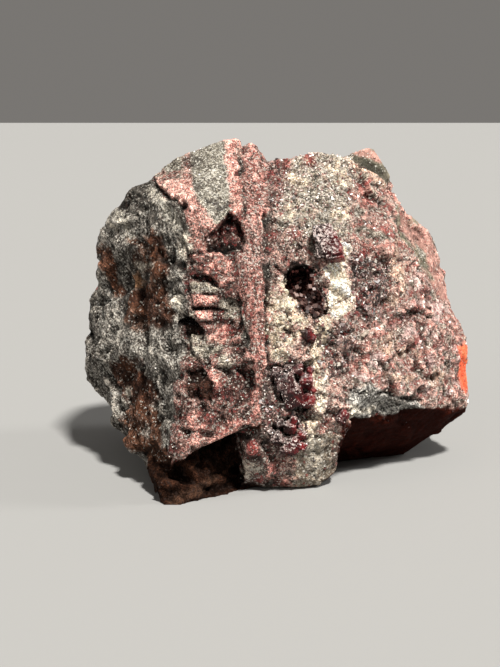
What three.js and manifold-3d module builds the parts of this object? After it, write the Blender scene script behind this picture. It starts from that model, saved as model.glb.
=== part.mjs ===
// A hand specimen of cinnabar ore, standing on a broken face: a chunk of dark dolomite host rock,
// crossed by cinnabar veins, with clusters of blocky cinnabar crystals seated in it and a small
// crystal-lined cavity. Millimetres, +Z up, +Y away from the display face. The origin is at the
// centre of the box, on the ground.
import * as THREE from "three";
import { ConvexGeometry } from "three/addons/geometries/ConvexGeometry.js";
import { ImprovedNoise } from "three/addons/math/ImprovedNoise.js";
import { mergeVertices } from "three/addons/utils/BufferGeometryUtils.js";
import Module from "manifold-3d";

const wasm = await Module();
wasm.setup();

// Driving dimensions.
const GROUND = 0; // height of the broken face that the specimen stands on
const FRONT_EDGE = 6.2; // longest triangle edge on the display side
const BACK_EDGE = 10; // longest triangle edge on the back
const DISPLAY_DEPTH = 8; // Y at which the display side gives way to the back
const BREAK_OCTAVES = [ // size of the lumps of a broken face, and how far they stand out
  { size: 14, amount: 1.0 },
  { size: 7, amount: 1.0 },
  { size: 3.6, amount: 0.8 },
];
// Slow waves that grow with Y, towards the back.
const BACK_WAVE = { size: 26, amount: 3, from: 8, to: 28 };
const GROUND_CLEARANCE = 0.6; // least height of a corner that isn't on the ground face
// The smooth facet on the crest.
const GREY_FACET = { centre: new THREE.Vector3(-16, -8, 69), reach: 11 };
const LEDGE_FACE = { y: -20.5, x: -20, z: 52 }; // top left corner of the rock behind the ledges
const LEDGE_FACE_SLOPE = { right: 0.42, down: 0.24 }; // how fast that rock comes forward
const LEDGES = [
  { left: -20.2, right: -12, z: 51.6, stands: 1.6 },
  { left: -19.6, right: -10.5, z: 46.2, stands: 1.8 },
  { left: -18.8, right: -12.5, z: 43.0, stands: 1.5 },
  { left: -19.0, right: -9.5, z: 40.4, stands: 1.2 },
];
const CAVITY_LOBES = [ // a deep hole, and the shallower trough that runs down from it
  { centre: [4.4, -25.2, 47.6], radii: [3.9, 5.6, 4.4], turn: [0, 0.3, 0] },
  { centre: [6.6, -26.0, 44.4], radii: [3.1, 4.6, 5.0], turn: [0, -0.5, 0] },
];
const CAVITY_MOUTH = { at: [5.4, -25.6, 46.2], faces: new THREE.Vector3(0.15, -0.84, 0.52) };
const MOUTH_SETBACK = 1; // how deep below the mouth the crust starts
const CRUST = { thickness: 0.9, crystals: 11, smallest: 1, largest: 1.9 }; // crystals for each lobe
// Single crystals grown fast to the rock.
const SMALL_CRYSTAL = { smallest: 0.9, largest: 1.7, apart: 1 };
const FINE_SCOOP = 10; // longest radius of a scoop that still has few facets
const SEAT_GAP = 0.3; // clearance between a crystal and its seat in the host rock
const SIDE_REACH = 0.94; // reach of a crystal's side corners from its axis, over that of its tip

// ---------------------------------------------------------------- geometry helpers

// A closed geometry as a manifold solid, with position as its only attribute.
function solidOf(geometry) {
  const bare = geometry.clone();
  bare.deleteAttribute("normal");
  bare.deleteAttribute("uv");
  const merged = mergeVertices(bare, 1e-4);
  return new wasm.Manifold(
    new wasm.Mesh({
      numProp: 3,
      vertProperties: new Float32Array(merged.attributes.position.array),
      triVerts: new Uint32Array(merged.index.array),
    }),
  );
}

// A manifold solid as an indexed three.js geometry.
function geometryOf(solid) {
  const mesh = solid.getMesh();
  const stride = mesh.numProp;
  const position = new Float32Array(mesh.numVert * 3);
  for (let i = 0; i < mesh.numVert; i++) {
    position.set(mesh.vertProperties.subarray(i * stride, i * stride + 3), i * 3);
  }
  const geometry = new THREE.BufferGeometry();
  geometry.setAttribute("position", new THREE.BufferAttribute(position, 3));
  geometry.setIndex(new THREE.BufferAttribute(new Uint32Array(mesh.triVerts), 1));
  return geometry;
}

// A block of rock: the convex solid whose corners are the given points.
function block(...corners) {
  return solidOf(new ConvexGeometry(corners.map((c) => new THREE.Vector3(...c))));
}

// An ellipsoid of flat facets, for scoops and pits. Small ones have fewer facets.
function scoop([x, y, z], [rx, ry, rz], turn = [0, 0, 0]) {
  const geometry = new THREE.IcosahedronGeometry(1, Math.max(rx, ry, rz) > FINE_SCOOP ? 2 : 1);
  geometry.scale(rx, ry, rz);
  geometry.applyMatrix4(new THREE.Matrix4().makeRotationFromEuler(new THREE.Euler(...turn)));
  geometry.translate(x, y, z);
  return solidOf(geometry);
}

const joined = (solids) => solids.reduce((sum, solid) => sum.add(solid));
const cut = (solid, tools) => tools.reduce((rest, tool) => rest.subtract(tool), solid);

// Splits every edge that is longer than its limit, until none is left. Both faces of an edge
// split it at the same midpoint, so the surface stays closed.
function refined(geometry, limitAt) {
  const points = [];
  const position = geometry.attributes.position;
  for (let i = 0; i < position.count; i++) {
    points.push(new THREE.Vector3().fromBufferAttribute(position, i));
  }
  let faces = [];
  for (let i = 0; i < geometry.index.count; i += 3) {
    faces.push([geometry.index.getX(i), geometry.index.getX(i + 1), geometry.index.getX(i + 2)]);
  }
  for (let changed = true; changed; ) {
    changed = false;
    const middles = new Map();
    const middleOf = (a, b) => {
      const key = a < b ? `${a},${b}` : `${b},${a}`;
      if (!middles.has(key)) {
        const middle = points[a].clone().add(points[b]).multiplyScalar(0.5);
        const long = points[a].distanceTo(points[b]) > limitAt(middle);
        middles.set(key, long ? points.push(middle) - 1 : -1);
      }
      return middles.get(key);
    };
    const next = [];
    for (const face of faces) {
      const mids = face.map((v, i) => middleOf(v, face[(i + 1) % 3]));
      const split = mids.filter((m) => m >= 0).length;
      changed ||= split > 0;
      next.push(...dividedFace(face, mids, split, points));
    }
    faces = next;
  }
  const made = new THREE.BufferGeometry();
  const numbers = points.flatMap((p) => p.toArray());
  made.setAttribute("position", new THREE.Float32BufferAttribute(numbers, 3));
  made.setIndex(faces.flat());
  return made;
}

// A triangle divided at the midpoints that its edges have (-1 where an edge has none).
function dividedFace(face, mids, split, points) {
  if (split === 0) return [face];
  if (split === 3) {
    const [a, b, c] = face;
    const [ab, bc, ca] = mids;
    return [[a, ab, ca], [ab, b, bc], [ca, bc, c], [ab, bc, ca]];
  }
  // Turned so that the first edge is split and, where two are, the last edge isn't.
  const first = split === 1 ? mids.findIndex((m) => m >= 0) : (mids.findIndex((m) => m < 0) + 1) % 3;
  const [a, b, c] = [0, 1, 2].map((i) => face[(first + i) % 3]);
  const ab = mids[first];
  if (split === 1) return [[a, ab, c], [ab, b, c]];
  const bc = mids[(first + 1) % 3];
  const shorter = points[a].distanceTo(points[bc]) < points[ab].distanceTo(points[c]);
  if (shorter) return [[ab, b, bc], [a, ab, bc], [a, bc, c]];
  return [[ab, b, bc], [a, ab, c], [ab, bc, c]];
}

const noise = new ImprovedNoise();

// One octave of a wandering offset: three independent noises at a given grain size.
function wander(p, size, amount) {
  const at = p.clone().divideScalar(size);
  return new THREE.Vector3(
    noise.noise(at.x + 11.3, at.y + 4.1, at.z + 7.7),
    noise.noise(at.x + 37.9, at.y + 19.2, at.z + 1.4),
    noise.noise(at.x + 5.6, at.y + 53.8, at.z + 23.5),
  ).multiplyScalar(amount);
}

// How lumpy the break is at a place: the left flank is knobbly, and the grey facet is nearly flat.
function lumpiness(p) {
  const calm = Math.exp(-((p.distanceTo(GREY_FACET.centre) / GREY_FACET.reach) ** 2));
  const knobbly = THREE.MathUtils.smoothstep(-p.x, 18, 28) * THREE.MathUtils.smoothstep(-p.y, -20, 0);
  return 1 + 0.5 * knobbly - 0.8 * calm;
}

// Broken rock is never flat: moves each corner a little, and leaves the ground face in its plane.
function roughened(geometry) {
  const position = geometry.attributes.position;
  const p = new THREE.Vector3();
  for (let i = 0; i < position.count; i++) {
    p.fromBufferAttribute(position, i);
    const offset = new THREE.Vector3();
    for (const { size, amount } of BREAK_OCTAVES) offset.add(wander(p, size, amount));
    offset.multiplyScalar(lumpiness(p));
    const backward = THREE.MathUtils.smoothstep(p.y, BACK_WAVE.from, BACK_WAVE.to);
    offset.add(wander(p, BACK_WAVE.size, BACK_WAVE.amount * backward));
    const onGround = p.z < GROUND + 0.01;
    if (onGround) offset.z = 0;
    p.add(offset);
    if (!onGround) p.z = Math.max(p.z, GROUND + GROUND_CLEARANCE);
    position.setXYZ(i, p.x, p.y, p.z);
  }
  return geometry;
}

// ---------------------------------------------------------------- host rock

// The masses that the fractures left standing, each from its own corners.
function rightMass() {
  return block(
    // crest and right edge
    [-3, 2, 73.5], [7, 3, 73.3], [11, 3, 75], [17, 3, 76], [25, 5, 70], [28, 5, 64.5], [30.4, 3, 59],
    [43.5, 4, 33.5], [46, 3, 29], [47.5, 2, 15.7], [48, 0, 13],
    // display face
    [-8, -16, 64], [4.5, -13, 65], [-6, -28, 40], [4, -27, 44], [13, -20, 54], [4, -30, 26], [-4.5, -30, 26],
    [13, -26, 37], [28, -15, 35], [15.5, -26, 21], [27.6, -19, 20.5], [30, -6, 53], [38.5, -6, 33.5],
    [14.4, -26, 18], [31, -16, 15.7],
    // ground face and back
    [14, -4, GROUND], [32, 4, GROUND], [39, 22, GROUND], [31, 34, GROUND], [-5, 36, GROUND],
    [-5, -8, GROUND], [37, 35, 30], [0, 38, 36], [-4, 30, 63], [24, 29, 60], [34, 22, 56],
  );
}

function leftMass() {
  return block(
    // left edge, from the foot to the crest
    [-32, -22, 5], [-39, -8, 10.5], [-43.5, 0, 15.5], [-48, 6, 18.7], [-49, 8, 25], [-47.5, 9, 32],
    [-45.5, 10, 42], [-44.8, 8, 51], [-42.5, 5, 57], [-40.2, 2, 64.6], [-36.7, 0, 65.6], [-31, 0, 69.2],
    // ridge between the left flank and the display face
    [-26, -12, 64], [-21.8, -19.5, 55.5], [-20.5, -24, 45.5], [-21, -25, 38], [-23, -31.5, 20],
    [-24.2, -35, 9],
    // middle of the display face
    [-17, -21, 58], [-8, -15, 64], [-7, -23, 52.5], [-6, -27, 40], [-4.5, -30, 26.5], [-6.7, -30, 16],
    // ground face and back
    [-29, -22, GROUND], [-31, 0, GROUND], [-28, 32, GROUND], [0, 34, GROUND], [0, -15, GROUND],
    [-45, 24, 20], [-42, 27, 48], [-33, 27, 62], [-6, 31, 64], [-6, 4, 70],
  );
}

// The grey facet at the top left: a wedge that overhangs a shadowed hollow.
function crestWedge() {
  return block(
    [-31, 0, 69.5], [-27.6, 2, 73.5], [-21.5, 3, 75.5], [-13.2, 4, 78.6], [-10.4, 4, 79.6], [-8, 3, 78.4],
    [-11.6, 0, 78], [-21.4, -1, 74.7], [-26, -12.5, 64.5], [-20.4, -15.5, 67], [-17.2, -22.5, 56.8],
    [-14.5, -23.5, 59.8], [-10.2, -19.5, 63.2], [-10, -2, 58], [-24, -4, 58], [-10, 17, 73.5],
    [-30, 12, 67.5],
    [-12, 31, 60], [-31, 28, 56],
  );
}

// The cinnabar vein that stands proud along the middle of the display face.
function standingVein() {
  const upper = block(
    [-8.8, 2, 77.2], [-5.4, 1, 76.8], [-3.6, 1, 72], [-10.5, -17.5, 63], [-8, -20, 62], [-3.5, -17, 63],
    [-11, -23.5, 52], [-8, -26.5, 51], [-3.5, -24.5, 51], [-9, 14, 74], [-4, 13, 71], [-7, 30, 62],
    [-8, -8, 50],
  );
  const lower = block(
    [-10.5, -23.5, 53], [-8, -26.5, 53], [-3.5, -24.5, 53], [-8.8, -28.5, 40], [-6, -31, 38],
    [-2.6, -29.5, 38],
    [-6.5, -31.2, 26], [-4, -33, 25], [-2, -31.8, 25], [-8, -12, 50], [-5, -14, 26],
  );
  return upper.add(lower);
}

// The red block low on the left of the display face, above the undercut.
function lowerBlock() {
  return block(
    [-20.5, -24.6, 39.5], [-21.5, -28.5, 32], [-17, -33, 28], [-22.8, -33.5, 20], [-24.2, -37.2, 8.5],
    [-21, -37, 9.2], [-6.7, -33, 16], [-4.4, -32, 18], [-6, -28.5, 38], [-6, -31.5, 27], [-18, -16, 12],
    [-8, -16, 17], [-8, -16, 37], [-20, -16, 37],
  );
}

// The rounded column that carries the display face down to the ground.
function footColumn() {
  return block(
    [-8.7, -30, 14], [-9, -25, GROUND], [8, -22.3, GROUND], [10.8, -18.5, GROUND], [13.8, -22, 10.5],
    [12.6, -24.6, 4], [9.5, -24.8, 1.6], [14.4, -27, 18], [-4.4, -31.5, 26], [4, -31, 26], [14, -27.5, 26],
    [-6.7, -32, 16], [4, -30.5, 11], [3, -28.2, 3], [-8, -4, GROUND], [12, -4, GROUND], [-8, -4, 26],
    [12, -4, 26], [3, -25.4, GROUND], [-8.5, -27.6, 3.5],
  );
}

// The middle of the back, where the two masses were joined along the vein.
function backMiddle() {
  return block(
    [-13, 31, 60], [4, 31, 61], [-14, 35, 34], [6, 38, 30], [-12, 34, 4], [8, 35.5, 4], [-10, 33, GROUND],
    [7, 34.5, GROUND], [-8, 10, 66], [2, 10, 68], [-8, 10, GROUND], [2, 10, GROUND],
  );
}

// The low block at the left foot, whose front lies in the shadow of the undercut.
function footSlab() {
  return block(
    [-26.5, -38.2, GROUND], [-18, -34, GROUND], [-15.5, -20, GROUND], [-30, 4, GROUND], [-14, 4, GROUND],
    [-28.6, -34.5, 4.6], [-25, -33, 9], [-16.5, -28, 12], [-31, -2, 12], [-14, -2, 16],
  );
}

// The low sill that joins the foot slab to the column along the ground.
function footSill() {
  return block(
    [-20, -34.6, GROUND], [-7, -26, GROUND], [-8, -19, 3], [-18, -25, 3], [-7, -14, GROUND],
    [-20, -14, GROUND],
  );
}

// The lump on the crest at the right, behind the corner of the display face.
function crestKnob() {
  return block(
    [15.6, 6, 74.6], [17.6, 5.5, 76.6], [19.6, 5.5, 77], [22.2, 6, 76.9], [23.8, 6.5, 75.6], [25.2, 7, 73.2],
    [25.8, 7.5, 70.5], [20.6, 3.4, 74.4], [24.4, 4, 71.8], [15, 16, 72], [24, 16, 69.5], [14, 26, 61],
    [24.5, 22, 59],
    [29.5, 12, 62], [20, 4, 62],
  );
}

// Thin ledges that stand out one above the other between the left flank and the vein.
function steppedLedges() {
  return LEDGES.map(({ left, right, z, stands }) => {
    const lower = (LEDGE_FACE.z - z) * LEDGE_FACE_SLOPE.down;
    const front = (x) => LEDGE_FACE.y - stands - lower - (x - LEDGE_FACE.x) * LEDGE_FACE_SLOPE.right;
    return block(
      [left, front(left) + 0.6, z], [right, front(right), z - 1.2], [left, front(left) + 1.4, z + 1.3],
      [right, front(right) + 2.2, z + 0.9], [left, front(left) + 1.2, z - 1.4],
      [right, front(right) + 1.4, z - 2.6],
      [left, -14, z], [right, -14, z - 1], [left, -14, z + 3], [right, -14, z + 2],
    );
  });
}

// The flap of wall rock behind the right edge.
function rightFlap() {
  return block(
    [30, 3, 60], [35.6, 12, 57.7], [39.5, 14, 53.8], [41.2, 14.5, 50], [41.4, 13, 43], [42, 9, 38],
    [43, 5, 33], [36, 26, 52], [41, 28, 38], [41, 20, 30], [28, 12, 56], [32, -1, 50], [39, -4, 35],
    [30, 10, 30],
  );
}

// Blocks that fell out before the smaller masses were bared: the undercut below the red block, the
// broken ledge under the right lobe, and the big chips of the back.
function fallenBlocks() {
  return [
    block(
      [-28, -46, 7.2], [-5, -46, 16.2], [-26.5, -31, 7.6], [-9.2, -19.5, 15.5], [-28, -46, -6],
      [-5, -46, -6],
      [-26.5, -31, -6], [-9.2, -19.5, -6],
    ),
    block(
      [13, -34, 15], [16, -32, 21.8], [24, -28, 20.8], [32, -24, 17], [40, -20, 13.6], [15, -23.6, 12],
      [17, -24.6, 20.6], [24, -19.6, 19.6], [32, -13, 16], [40, -7, 12.6], [34, -6, 9],
    ),
    block([-50, 14, 74], [-28, 40, 72], [-50, 40, 74], [-50, 23, 34], [-34, 38, 26], [-50, 42, 30]),
    block(
      [8, 52, 40], [46, 42, 30], [12, 34.5, 45], [44, 21, 36], [18, 50, 74], [44, 50, 66], [16, 22, 72],
      [40, 12, 66],
    ),
  ];
}

// Hollows, grooves, pits and steps that break the surface.
function surfaceHollows() {
  return [
    // two broad bowls in the left flank
    scoop([-44.5, -13.5, 45], [14, 14, 15]),
    scoop([-44.5, -19, 25.5], [13, 14, 11]),
    // the three-cornered hollow below the grey facet
    block(
      [-11.2, -26, 63], [-6.5, -28, 57.8], [-7.5, -28, 54.3], [-16.2, -28, 53.3], [-17, -28, 56.5],
      [-11.2, -16, 61.5], [-8, -19, 57], [-9, -20, 54], [-15.5, -18.5, 54],
    ),
    // the stepped grooves below it
    block([-21, -28, 48.5], [-13, -30, 46], [-14, -30, 49.6], [-20, -20.5, 47.5], [-13.5, -22.5, 48]),
    block([-20.5, -30, 43], [-11, -31, 42], [-11, -31, 43.9], [-19, -22.4, 43], [-12, -25, 43]),
    block([-19.5, -30, 40.6], [-10, -31, 38.8], [-10, -31, 40.8], [-18, -23.5, 40.2], [-11, -25.5, 40]),
    // the deep pit at the ridge, and the pit by the pink band
    scoop([-20.8, -26.5, 37.6], [2.4, 5, 1.7], [0, 0.5, 0.5]),
    scoop([-22.6, -17, 60.2], [1.3, 3.4, 1.1]),
    // the arched scoop in the red block
    scoop([-17.6, -36.6, 23.4], [3.6, 4, 3.4]),
    scoop([-14.2, -36.2, 22.6], [2.8, 3, 2.2]),
    // the shallow dark hollow at the right of the display face
    scoop([21, -23.5, 46], [6.4, 7, 8.4]),
    // the chipped corner in front of the lump on the crest
    scoop([25.5, -1.5, 75.5], [5, 4.6, 3.8], [0, 0.7, 0]),
    // broad shallow chips of the back and of the far corners
    scoop([-24, 47, 40], [19, 17, 24], [0.2, 0, 0.3]),
    scoop([12, 54, 17], [22, 18.6, 13], [0.1, 0.2, 0]),
    scoop([52, 24, 22], [13, 20, 16], [0, 0.3, 0.3]),
    scoop([-14, 30, 80], [22, 16, 17], [0.4, 0, 0]),
    // the crack beside the vein
    block(
      [-3.2, -33, 43.5], [-2.2, -34, 43.5], [-1.7, -36, 27], [-0.8, -36, 27], [-2.6, -25.8, 43.5],
      [-1.2, -29.6, 27],
    ),
  ];
}

// ---------------------------------------------------------------- crystals

// A rhombohedron with its three-fold axis along +Z, stretched along that axis by `tall`.
function rhombohedron(size, tall) {
  const reach = SIDE_REACH * size;
  const corners = [new THREE.Vector3(0, 0, tall * size), new THREE.Vector3(0, 0, -tall * size)];
  for (let i = 0; i < 6; i++) {
    const angle = (i * Math.PI) / 3;
    const lift = ((i % 2 ? 1 : -1) * tall * size) / 3;
    corners.push(new THREE.Vector3(reach * Math.cos(angle), reach * Math.sin(angle), lift));
  }
  return new ConvexGeometry(corners);
}

// One crystal of a cluster: where its centre is, its half-width, how tall it is and how it is turned.
function crystal({ at, size, tall = 1, turn = [0, 0, 0] }, grow = 0) {
  const geometry = rhombohedron(size + grow, tall);
  geometry.applyMatrix4(new THREE.Matrix4().makeRotationFromEuler(new THREE.Euler(...turn)));
  geometry.translate(...at);
  return solidOf(geometry);
}

// Each cluster is crystals grown together. Its places lie on the display face.
const CLUSTERS = {
  upper_crystal: [
    { at: [9.7, -20.6, 57.6], size: 4.0, tall: 0.85, turn: [0.5, 0.3, 0.2] },
    { at: [11.6, -21.8, 54.2], size: 3.7, tall: 0.9, turn: [1.2, -0.4, 0.7] },
  ],
  middle_crystal: [
    { at: [5.4, -28.3, 36.4], size: 1.9, tall: 0.9, turn: [0.8, 0.2, 1.0] },
    { at: [6.5, -27.9, 35.4], size: 1.5, tall: 1.0, turn: [0.2, 1.2, 0.3] },
  ],
  lower_crystals: [
    { at: [1.4, -30.0, 25.2], size: 4.3, tall: 0.8, turn: [0.9, 0.2, 0.4] },
    { at: [5.0, -30.4, 21.6], size: 2.9, tall: 0.9, turn: [0.3, 0.8, 1.1] },
    { at: [4.4, -29.6, 28.0], size: 2.6, tall: 1.0, turn: [1.5, 0.1, 0.6] },
    { at: [-0.6, -30.8, 28.0], size: 2.3, tall: 1.0, turn: [0.5, 0.7, 0.2] },
  ],
  foot_crystals: [
    { at: [2.6, -30.0, 12.0], size: 3.3, tall: 0.8, turn: [1.0, 0.5, 0.1] },
    { at: [-0.8, -30.4, 14.8], size: 2.9, tall: 0.9, turn: [0.4, 1.2, 0.9] },
    { at: [1.4, -30.6, 16.2], size: 2.4, tall: 1.0, turn: [1.4, 0.3, 0.5] },
  ],
  notch_crystal: [
    { at: [13.4, -26.6, 17.2], size: 2.5, tall: 1.0, turn: [0.7, 0.9, 0.3] },
  ],
};

// Parts of the display face where small crystals are grown fast to the rock, in X and Z.
const CRYSTAL_FIELDS = [
  { centre: [21, 46], reach: [6, 9], count: 18 },
  { centre: [3, 31], reach: [7, 8], count: 14 },
  { centre: [4, 14], reach: [8, 8], count: 9 },
  { centre: [30, 32], reach: [9, 12], count: 13 },
];
const IN_FRONT = -80; // Y of a point well clear of the display face
const GOLDEN_ANGLE = Math.PI * (3 - Math.sqrt(5));
const MOST_TURN = 3; // the most that a small crystal is turned about an axis, in radians
const REACH_OF_SIZE = 1.2; // clear room that a crystal needs, over its half-width

// Repeatable value from 0 to 1 for the nth draw.
const draw = (n) => Math.abs(Math.sin(n * 12.9898 + 4.1414) * 43758.5453) % 1;

// Small crystals, half sunk in the rock where a line along +Y meets it. They keep clear of the
// clusters and of the cavity.
function smallCrystals(rock) {
  const target = new THREE.Mesh(rock, new THREE.MeshStandardMaterial());
  const caster = new THREE.Raycaster();
  const kept = [];
  let n = 0;
  for (const { centre, reach, count } of CRYSTAL_FIELDS) {
    for (let i = 0; i < count; i++) {
      n += 1;
      const out = Math.sqrt((i + 0.5) / count);
      const x = centre[0] + reach[0] * out * Math.cos(i * GOLDEN_ANGLE);
      const z = centre[1] + reach[1] * out * Math.sin(i * GOLDEN_ANGLE);
      caster.set(new THREE.Vector3(x, IN_FRONT, z), new THREE.Vector3(0, 1, 0));
      const hit = caster.intersectObject(target)[0];
      const size = THREE.MathUtils.lerp(SMALL_CRYSTAL.smallest, SMALL_CRYSTAL.largest, draw(n));
      if (!hit || !isClear(hit.point, size)) continue;
      const turn = [0.1, 0.2, 0.3].map((other) => draw(n + other) * MOST_TURN);
      kept.push(crystal({ at: hit.point.toArray(), size, turn }));
    }
  }
  return kept;
}

function isClear(point, size) {
  const room = size + SMALL_CRYSTAL.apart;
  const clearOf = (at, reach) => point.distanceTo(new THREE.Vector3(...at)) > reach + room;
  const clusters = Object.values(CLUSTERS).flat();
  const clearOfClusters = clusters.every((c) => clearOf(c.at, REACH_OF_SIZE * c.size));
  return clearOfClusters && CAVITY_LOBES.every((lobe) => clearOf(lobe.centre, Math.max(...lobe.radii)));
}

// Everything on the open side of the cavity's mouth, moved inwards by a distance.
function beyondMouth(inwards) {
  const reach = 40;
  const geometry = new THREE.BoxGeometry(reach, reach, reach);
  geometry.translate(0, 0, reach / 2);
  const up = new THREE.Vector3(0, 0, 1);
  const outwards = CAVITY_MOUTH.faces.clone().normalize();
  geometry.applyQuaternion(new THREE.Quaternion().setFromUnitVectors(up, outwards));
  const at = new THREE.Vector3(...CAVITY_MOUTH.at).addScaledVector(outwards, -inwards);
  geometry.translate(at.x, at.y, at.z);
  return solidOf(geometry);
}

// The cavity's space, shrunk by a distance on all sides.
function cavity(shrunk) {
  return joined(
    CAVITY_LOBES.map(({ centre, radii, turn }) => scoop(centre, radii.map((r) => r - shrunk), turn)),
  );
}

// The small crystals that point inwards from the wall of one lobe of the cavity.
function lobeCrystals({ centre, radii }, lobe) {
  const crystals = [];
  for (let i = 0; i < CRUST.crystals; i++) {
    const up = 1 - (2 * (i + 0.5)) / CRUST.crystals;
    const around = i * GOLDEN_ANGLE;
    const ring = Math.sqrt(1 - up * up);
    const way = [ring * Math.cos(around), up, ring * Math.sin(around)];
    const at = way.map((c, k) => centre[k] + c * (radii[k] - CRUST.thickness));
    const n = 50 * (lobe + 1) + i;
    const size = THREE.MathUtils.lerp(CRUST.smallest, CRUST.largest, draw(n));
    const turn = [0.1, 0.2, 0.3].map((other) => draw(n + other) * MOST_TURN);
    crystals.push(crystal({ at, size, turn }));
  }
  return crystals;
}

// The crust that lines the cavity: a thin bowl with crystals that point inwards.
function cavityCrust() {
  const wall = cavity(SEAT_GAP).subtract(cavity(SEAT_GAP + CRUST.thickness));
  const lined = joined([wall, ...CAVITY_LOBES.flatMap(lobeCrystals)]);
  return lined.intersect(cavity(SEAT_GAP)).subtract(beyondMouth(MOUTH_SETBACK));
}

// ---------------------------------------------------------------- assembly

const mainMass = joined([rightMass(), leftMass(), lowerBlock()]);
const standing = joined([
  cut(mainMass, fallenBlocks()), crestWedge(), standingVein(), footColumn(), footSlab(), footSill(),
  crestKnob(), rightFlap(), backMiddle(),
]);
const hollowed = joined([cut(standing, surfaceHollows()), ...steppedLedges()]);

const edgeLimit = (p) => (p.y < DISPLAY_DEPTH ? FRONT_EDGE : BACK_EDGE);
const broken = roughened(refined(geometryOf(hollowed), edgeLimit));
let host = joined([solidOf(broken), ...smallCrystals(broken)]).subtract(cavity(0));

const crystals = new Map();
for (const [name, cluster] of Object.entries(CLUSTERS)) {
  crystals.set(name, joined(cluster.map((c) => crystal(c))));
  host = cut(host, cluster.map((c) => crystal(c, 2 * SEAT_GAP)));
}
crystals.set("cavity_crystals", cavityCrust());

const HOST_ROCK = new THREE.MeshStandardMaterial({
  name: "host_rock",
  color: 0x4b4644,
  roughness: 0.8,
});
const CINNABAR = new THREE.MeshStandardMaterial({
  name: "cinnabar",
  color: 0x5c1015,
  roughness: 0.25,
});

const specimen = new THREE.Group();
function addPiece(name, solid, material) {
  const mesh = new THREE.Mesh(geometryOf(solid), material);
  mesh.name = name;
  specimen.add(mesh);
}
addPiece("host_rock", host, HOST_ROCK);
for (const [name, solid] of crystals) addPiece(name, solid, CINNABAR);

// The origin goes to the middle of the footprint of the box.
const box = new THREE.Box3().setFromObject(specimen);
specimen.position.set(-(box.min.x + box.max.x) / 2, -(box.min.y + box.max.y) / 2, -box.min.z);

export default specimen;
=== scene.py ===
# %% [markdown]
# # A hand specimen of cinnabar ore
# The specimen is a chunk of dark dolomite rock with a standing vein of pink-red cinnabar, a sugary
# crystalline face to the right of the vein, and blocky deep-red crystals seated in that face.
# The solids come from the frame in metres. Every look is built around them: the rock's net is made
# finer and broken up in numpy, its finishes are laid on as attributes, and thousands of small
# grains and crystals are scattered over it with Geometry Nodes.

# %% Load the frame
import itertools
import math

import bmesh
import bpy
import numpy as np
from mathutils import Euler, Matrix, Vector


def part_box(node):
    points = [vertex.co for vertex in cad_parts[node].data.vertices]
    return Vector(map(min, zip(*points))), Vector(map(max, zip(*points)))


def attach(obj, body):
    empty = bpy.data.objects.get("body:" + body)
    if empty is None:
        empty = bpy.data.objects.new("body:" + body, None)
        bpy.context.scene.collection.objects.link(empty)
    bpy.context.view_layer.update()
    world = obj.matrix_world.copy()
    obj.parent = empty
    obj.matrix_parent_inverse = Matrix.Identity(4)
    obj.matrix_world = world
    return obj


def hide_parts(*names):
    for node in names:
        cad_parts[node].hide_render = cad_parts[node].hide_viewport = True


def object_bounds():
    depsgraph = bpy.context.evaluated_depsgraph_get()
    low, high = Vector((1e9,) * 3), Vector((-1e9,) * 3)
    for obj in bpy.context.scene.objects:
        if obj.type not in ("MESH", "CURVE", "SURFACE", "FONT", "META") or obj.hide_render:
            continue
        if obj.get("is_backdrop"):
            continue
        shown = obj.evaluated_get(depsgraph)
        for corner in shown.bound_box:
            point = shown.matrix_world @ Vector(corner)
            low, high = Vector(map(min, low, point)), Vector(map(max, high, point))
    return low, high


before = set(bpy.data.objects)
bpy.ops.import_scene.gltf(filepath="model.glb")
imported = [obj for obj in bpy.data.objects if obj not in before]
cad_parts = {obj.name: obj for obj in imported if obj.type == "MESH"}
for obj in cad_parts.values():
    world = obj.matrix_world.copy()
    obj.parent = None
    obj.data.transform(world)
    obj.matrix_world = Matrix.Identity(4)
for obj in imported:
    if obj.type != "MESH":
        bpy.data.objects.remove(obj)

MM = 0.001  # one millimetre in metres
cad_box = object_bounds()
print("solids:", sorted(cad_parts))

# %% [markdown]
# The zones of this rock are easiest to give in the millimetres of its own construction, where X runs to
# the right, Y away from the display face and Z up. One small crystal has a known centre there, so
# the difference between that and its place in the frame carries any point across.

# %% The specimen's own millimetres
NOTCH_CENTRE = np.array([13.4, -26.6, 17.2])  # centre of the crystal in the notch, in those millimetres
notch_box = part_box("notch_crystal")
DATUM = (np.array(notch_box[0]) + np.array(notch_box[1])) / 2 - NOTCH_CENTRE * MM


def place(x, y, z):
    """A point of the specimen's own millimetres, in metres of the frame."""
    return Vector(DATUM + np.array([x, y, z]) * MM)


print("datum in mm:", np.round(DATUM / MM, 2))

# %% [markdown]
# The camera looks slightly down at the display face. The floor is a plain pale sheet, and it is stage,
# not part of the specimen. Rock shows its grain when a fairly small light rakes over it from above. So
# the key light is small and high, and a broad weak light and a dim surround only open the shadows. A
# third light from the right keeps that edge apart from what lies behind.

# %% Camera, floor and lights
LOOK_DOWN = math.radians(10)
LENS = 66.06  # mm
SENSOR = 36  # mm
EYE = (-7.1, -295.4, 83.7)  # the camera's place in the specimen's own millimetres

camera = bpy.data.objects.new("camera", bpy.data.cameras.new("camera"))
bpy.context.scene.collection.objects.link(camera)
camera.data.lens = LENS
camera.data.sensor_width = SENSOR
camera.data.clip_start = 10 * MM
camera.location = place(*EYE)
camera.rotation_euler = (math.pi / 2 - LOOK_DOWN, 0, 0)
bpy.context.scene.camera = camera
bpy.context.scene.view_settings.view_transform = "Standard"


def principled(name, **sockets):
    """A new material and its Principled shader, with constants set on the shader's own sockets."""
    material = bpy.data.materials.new(name)
    material.use_nodes = True
    shader = material.node_tree.nodes["Principled BSDF"]
    for key, value in sockets.items():
        shader.inputs[key.replace("_", " ")].default_value = value
    return material, shader


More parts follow.
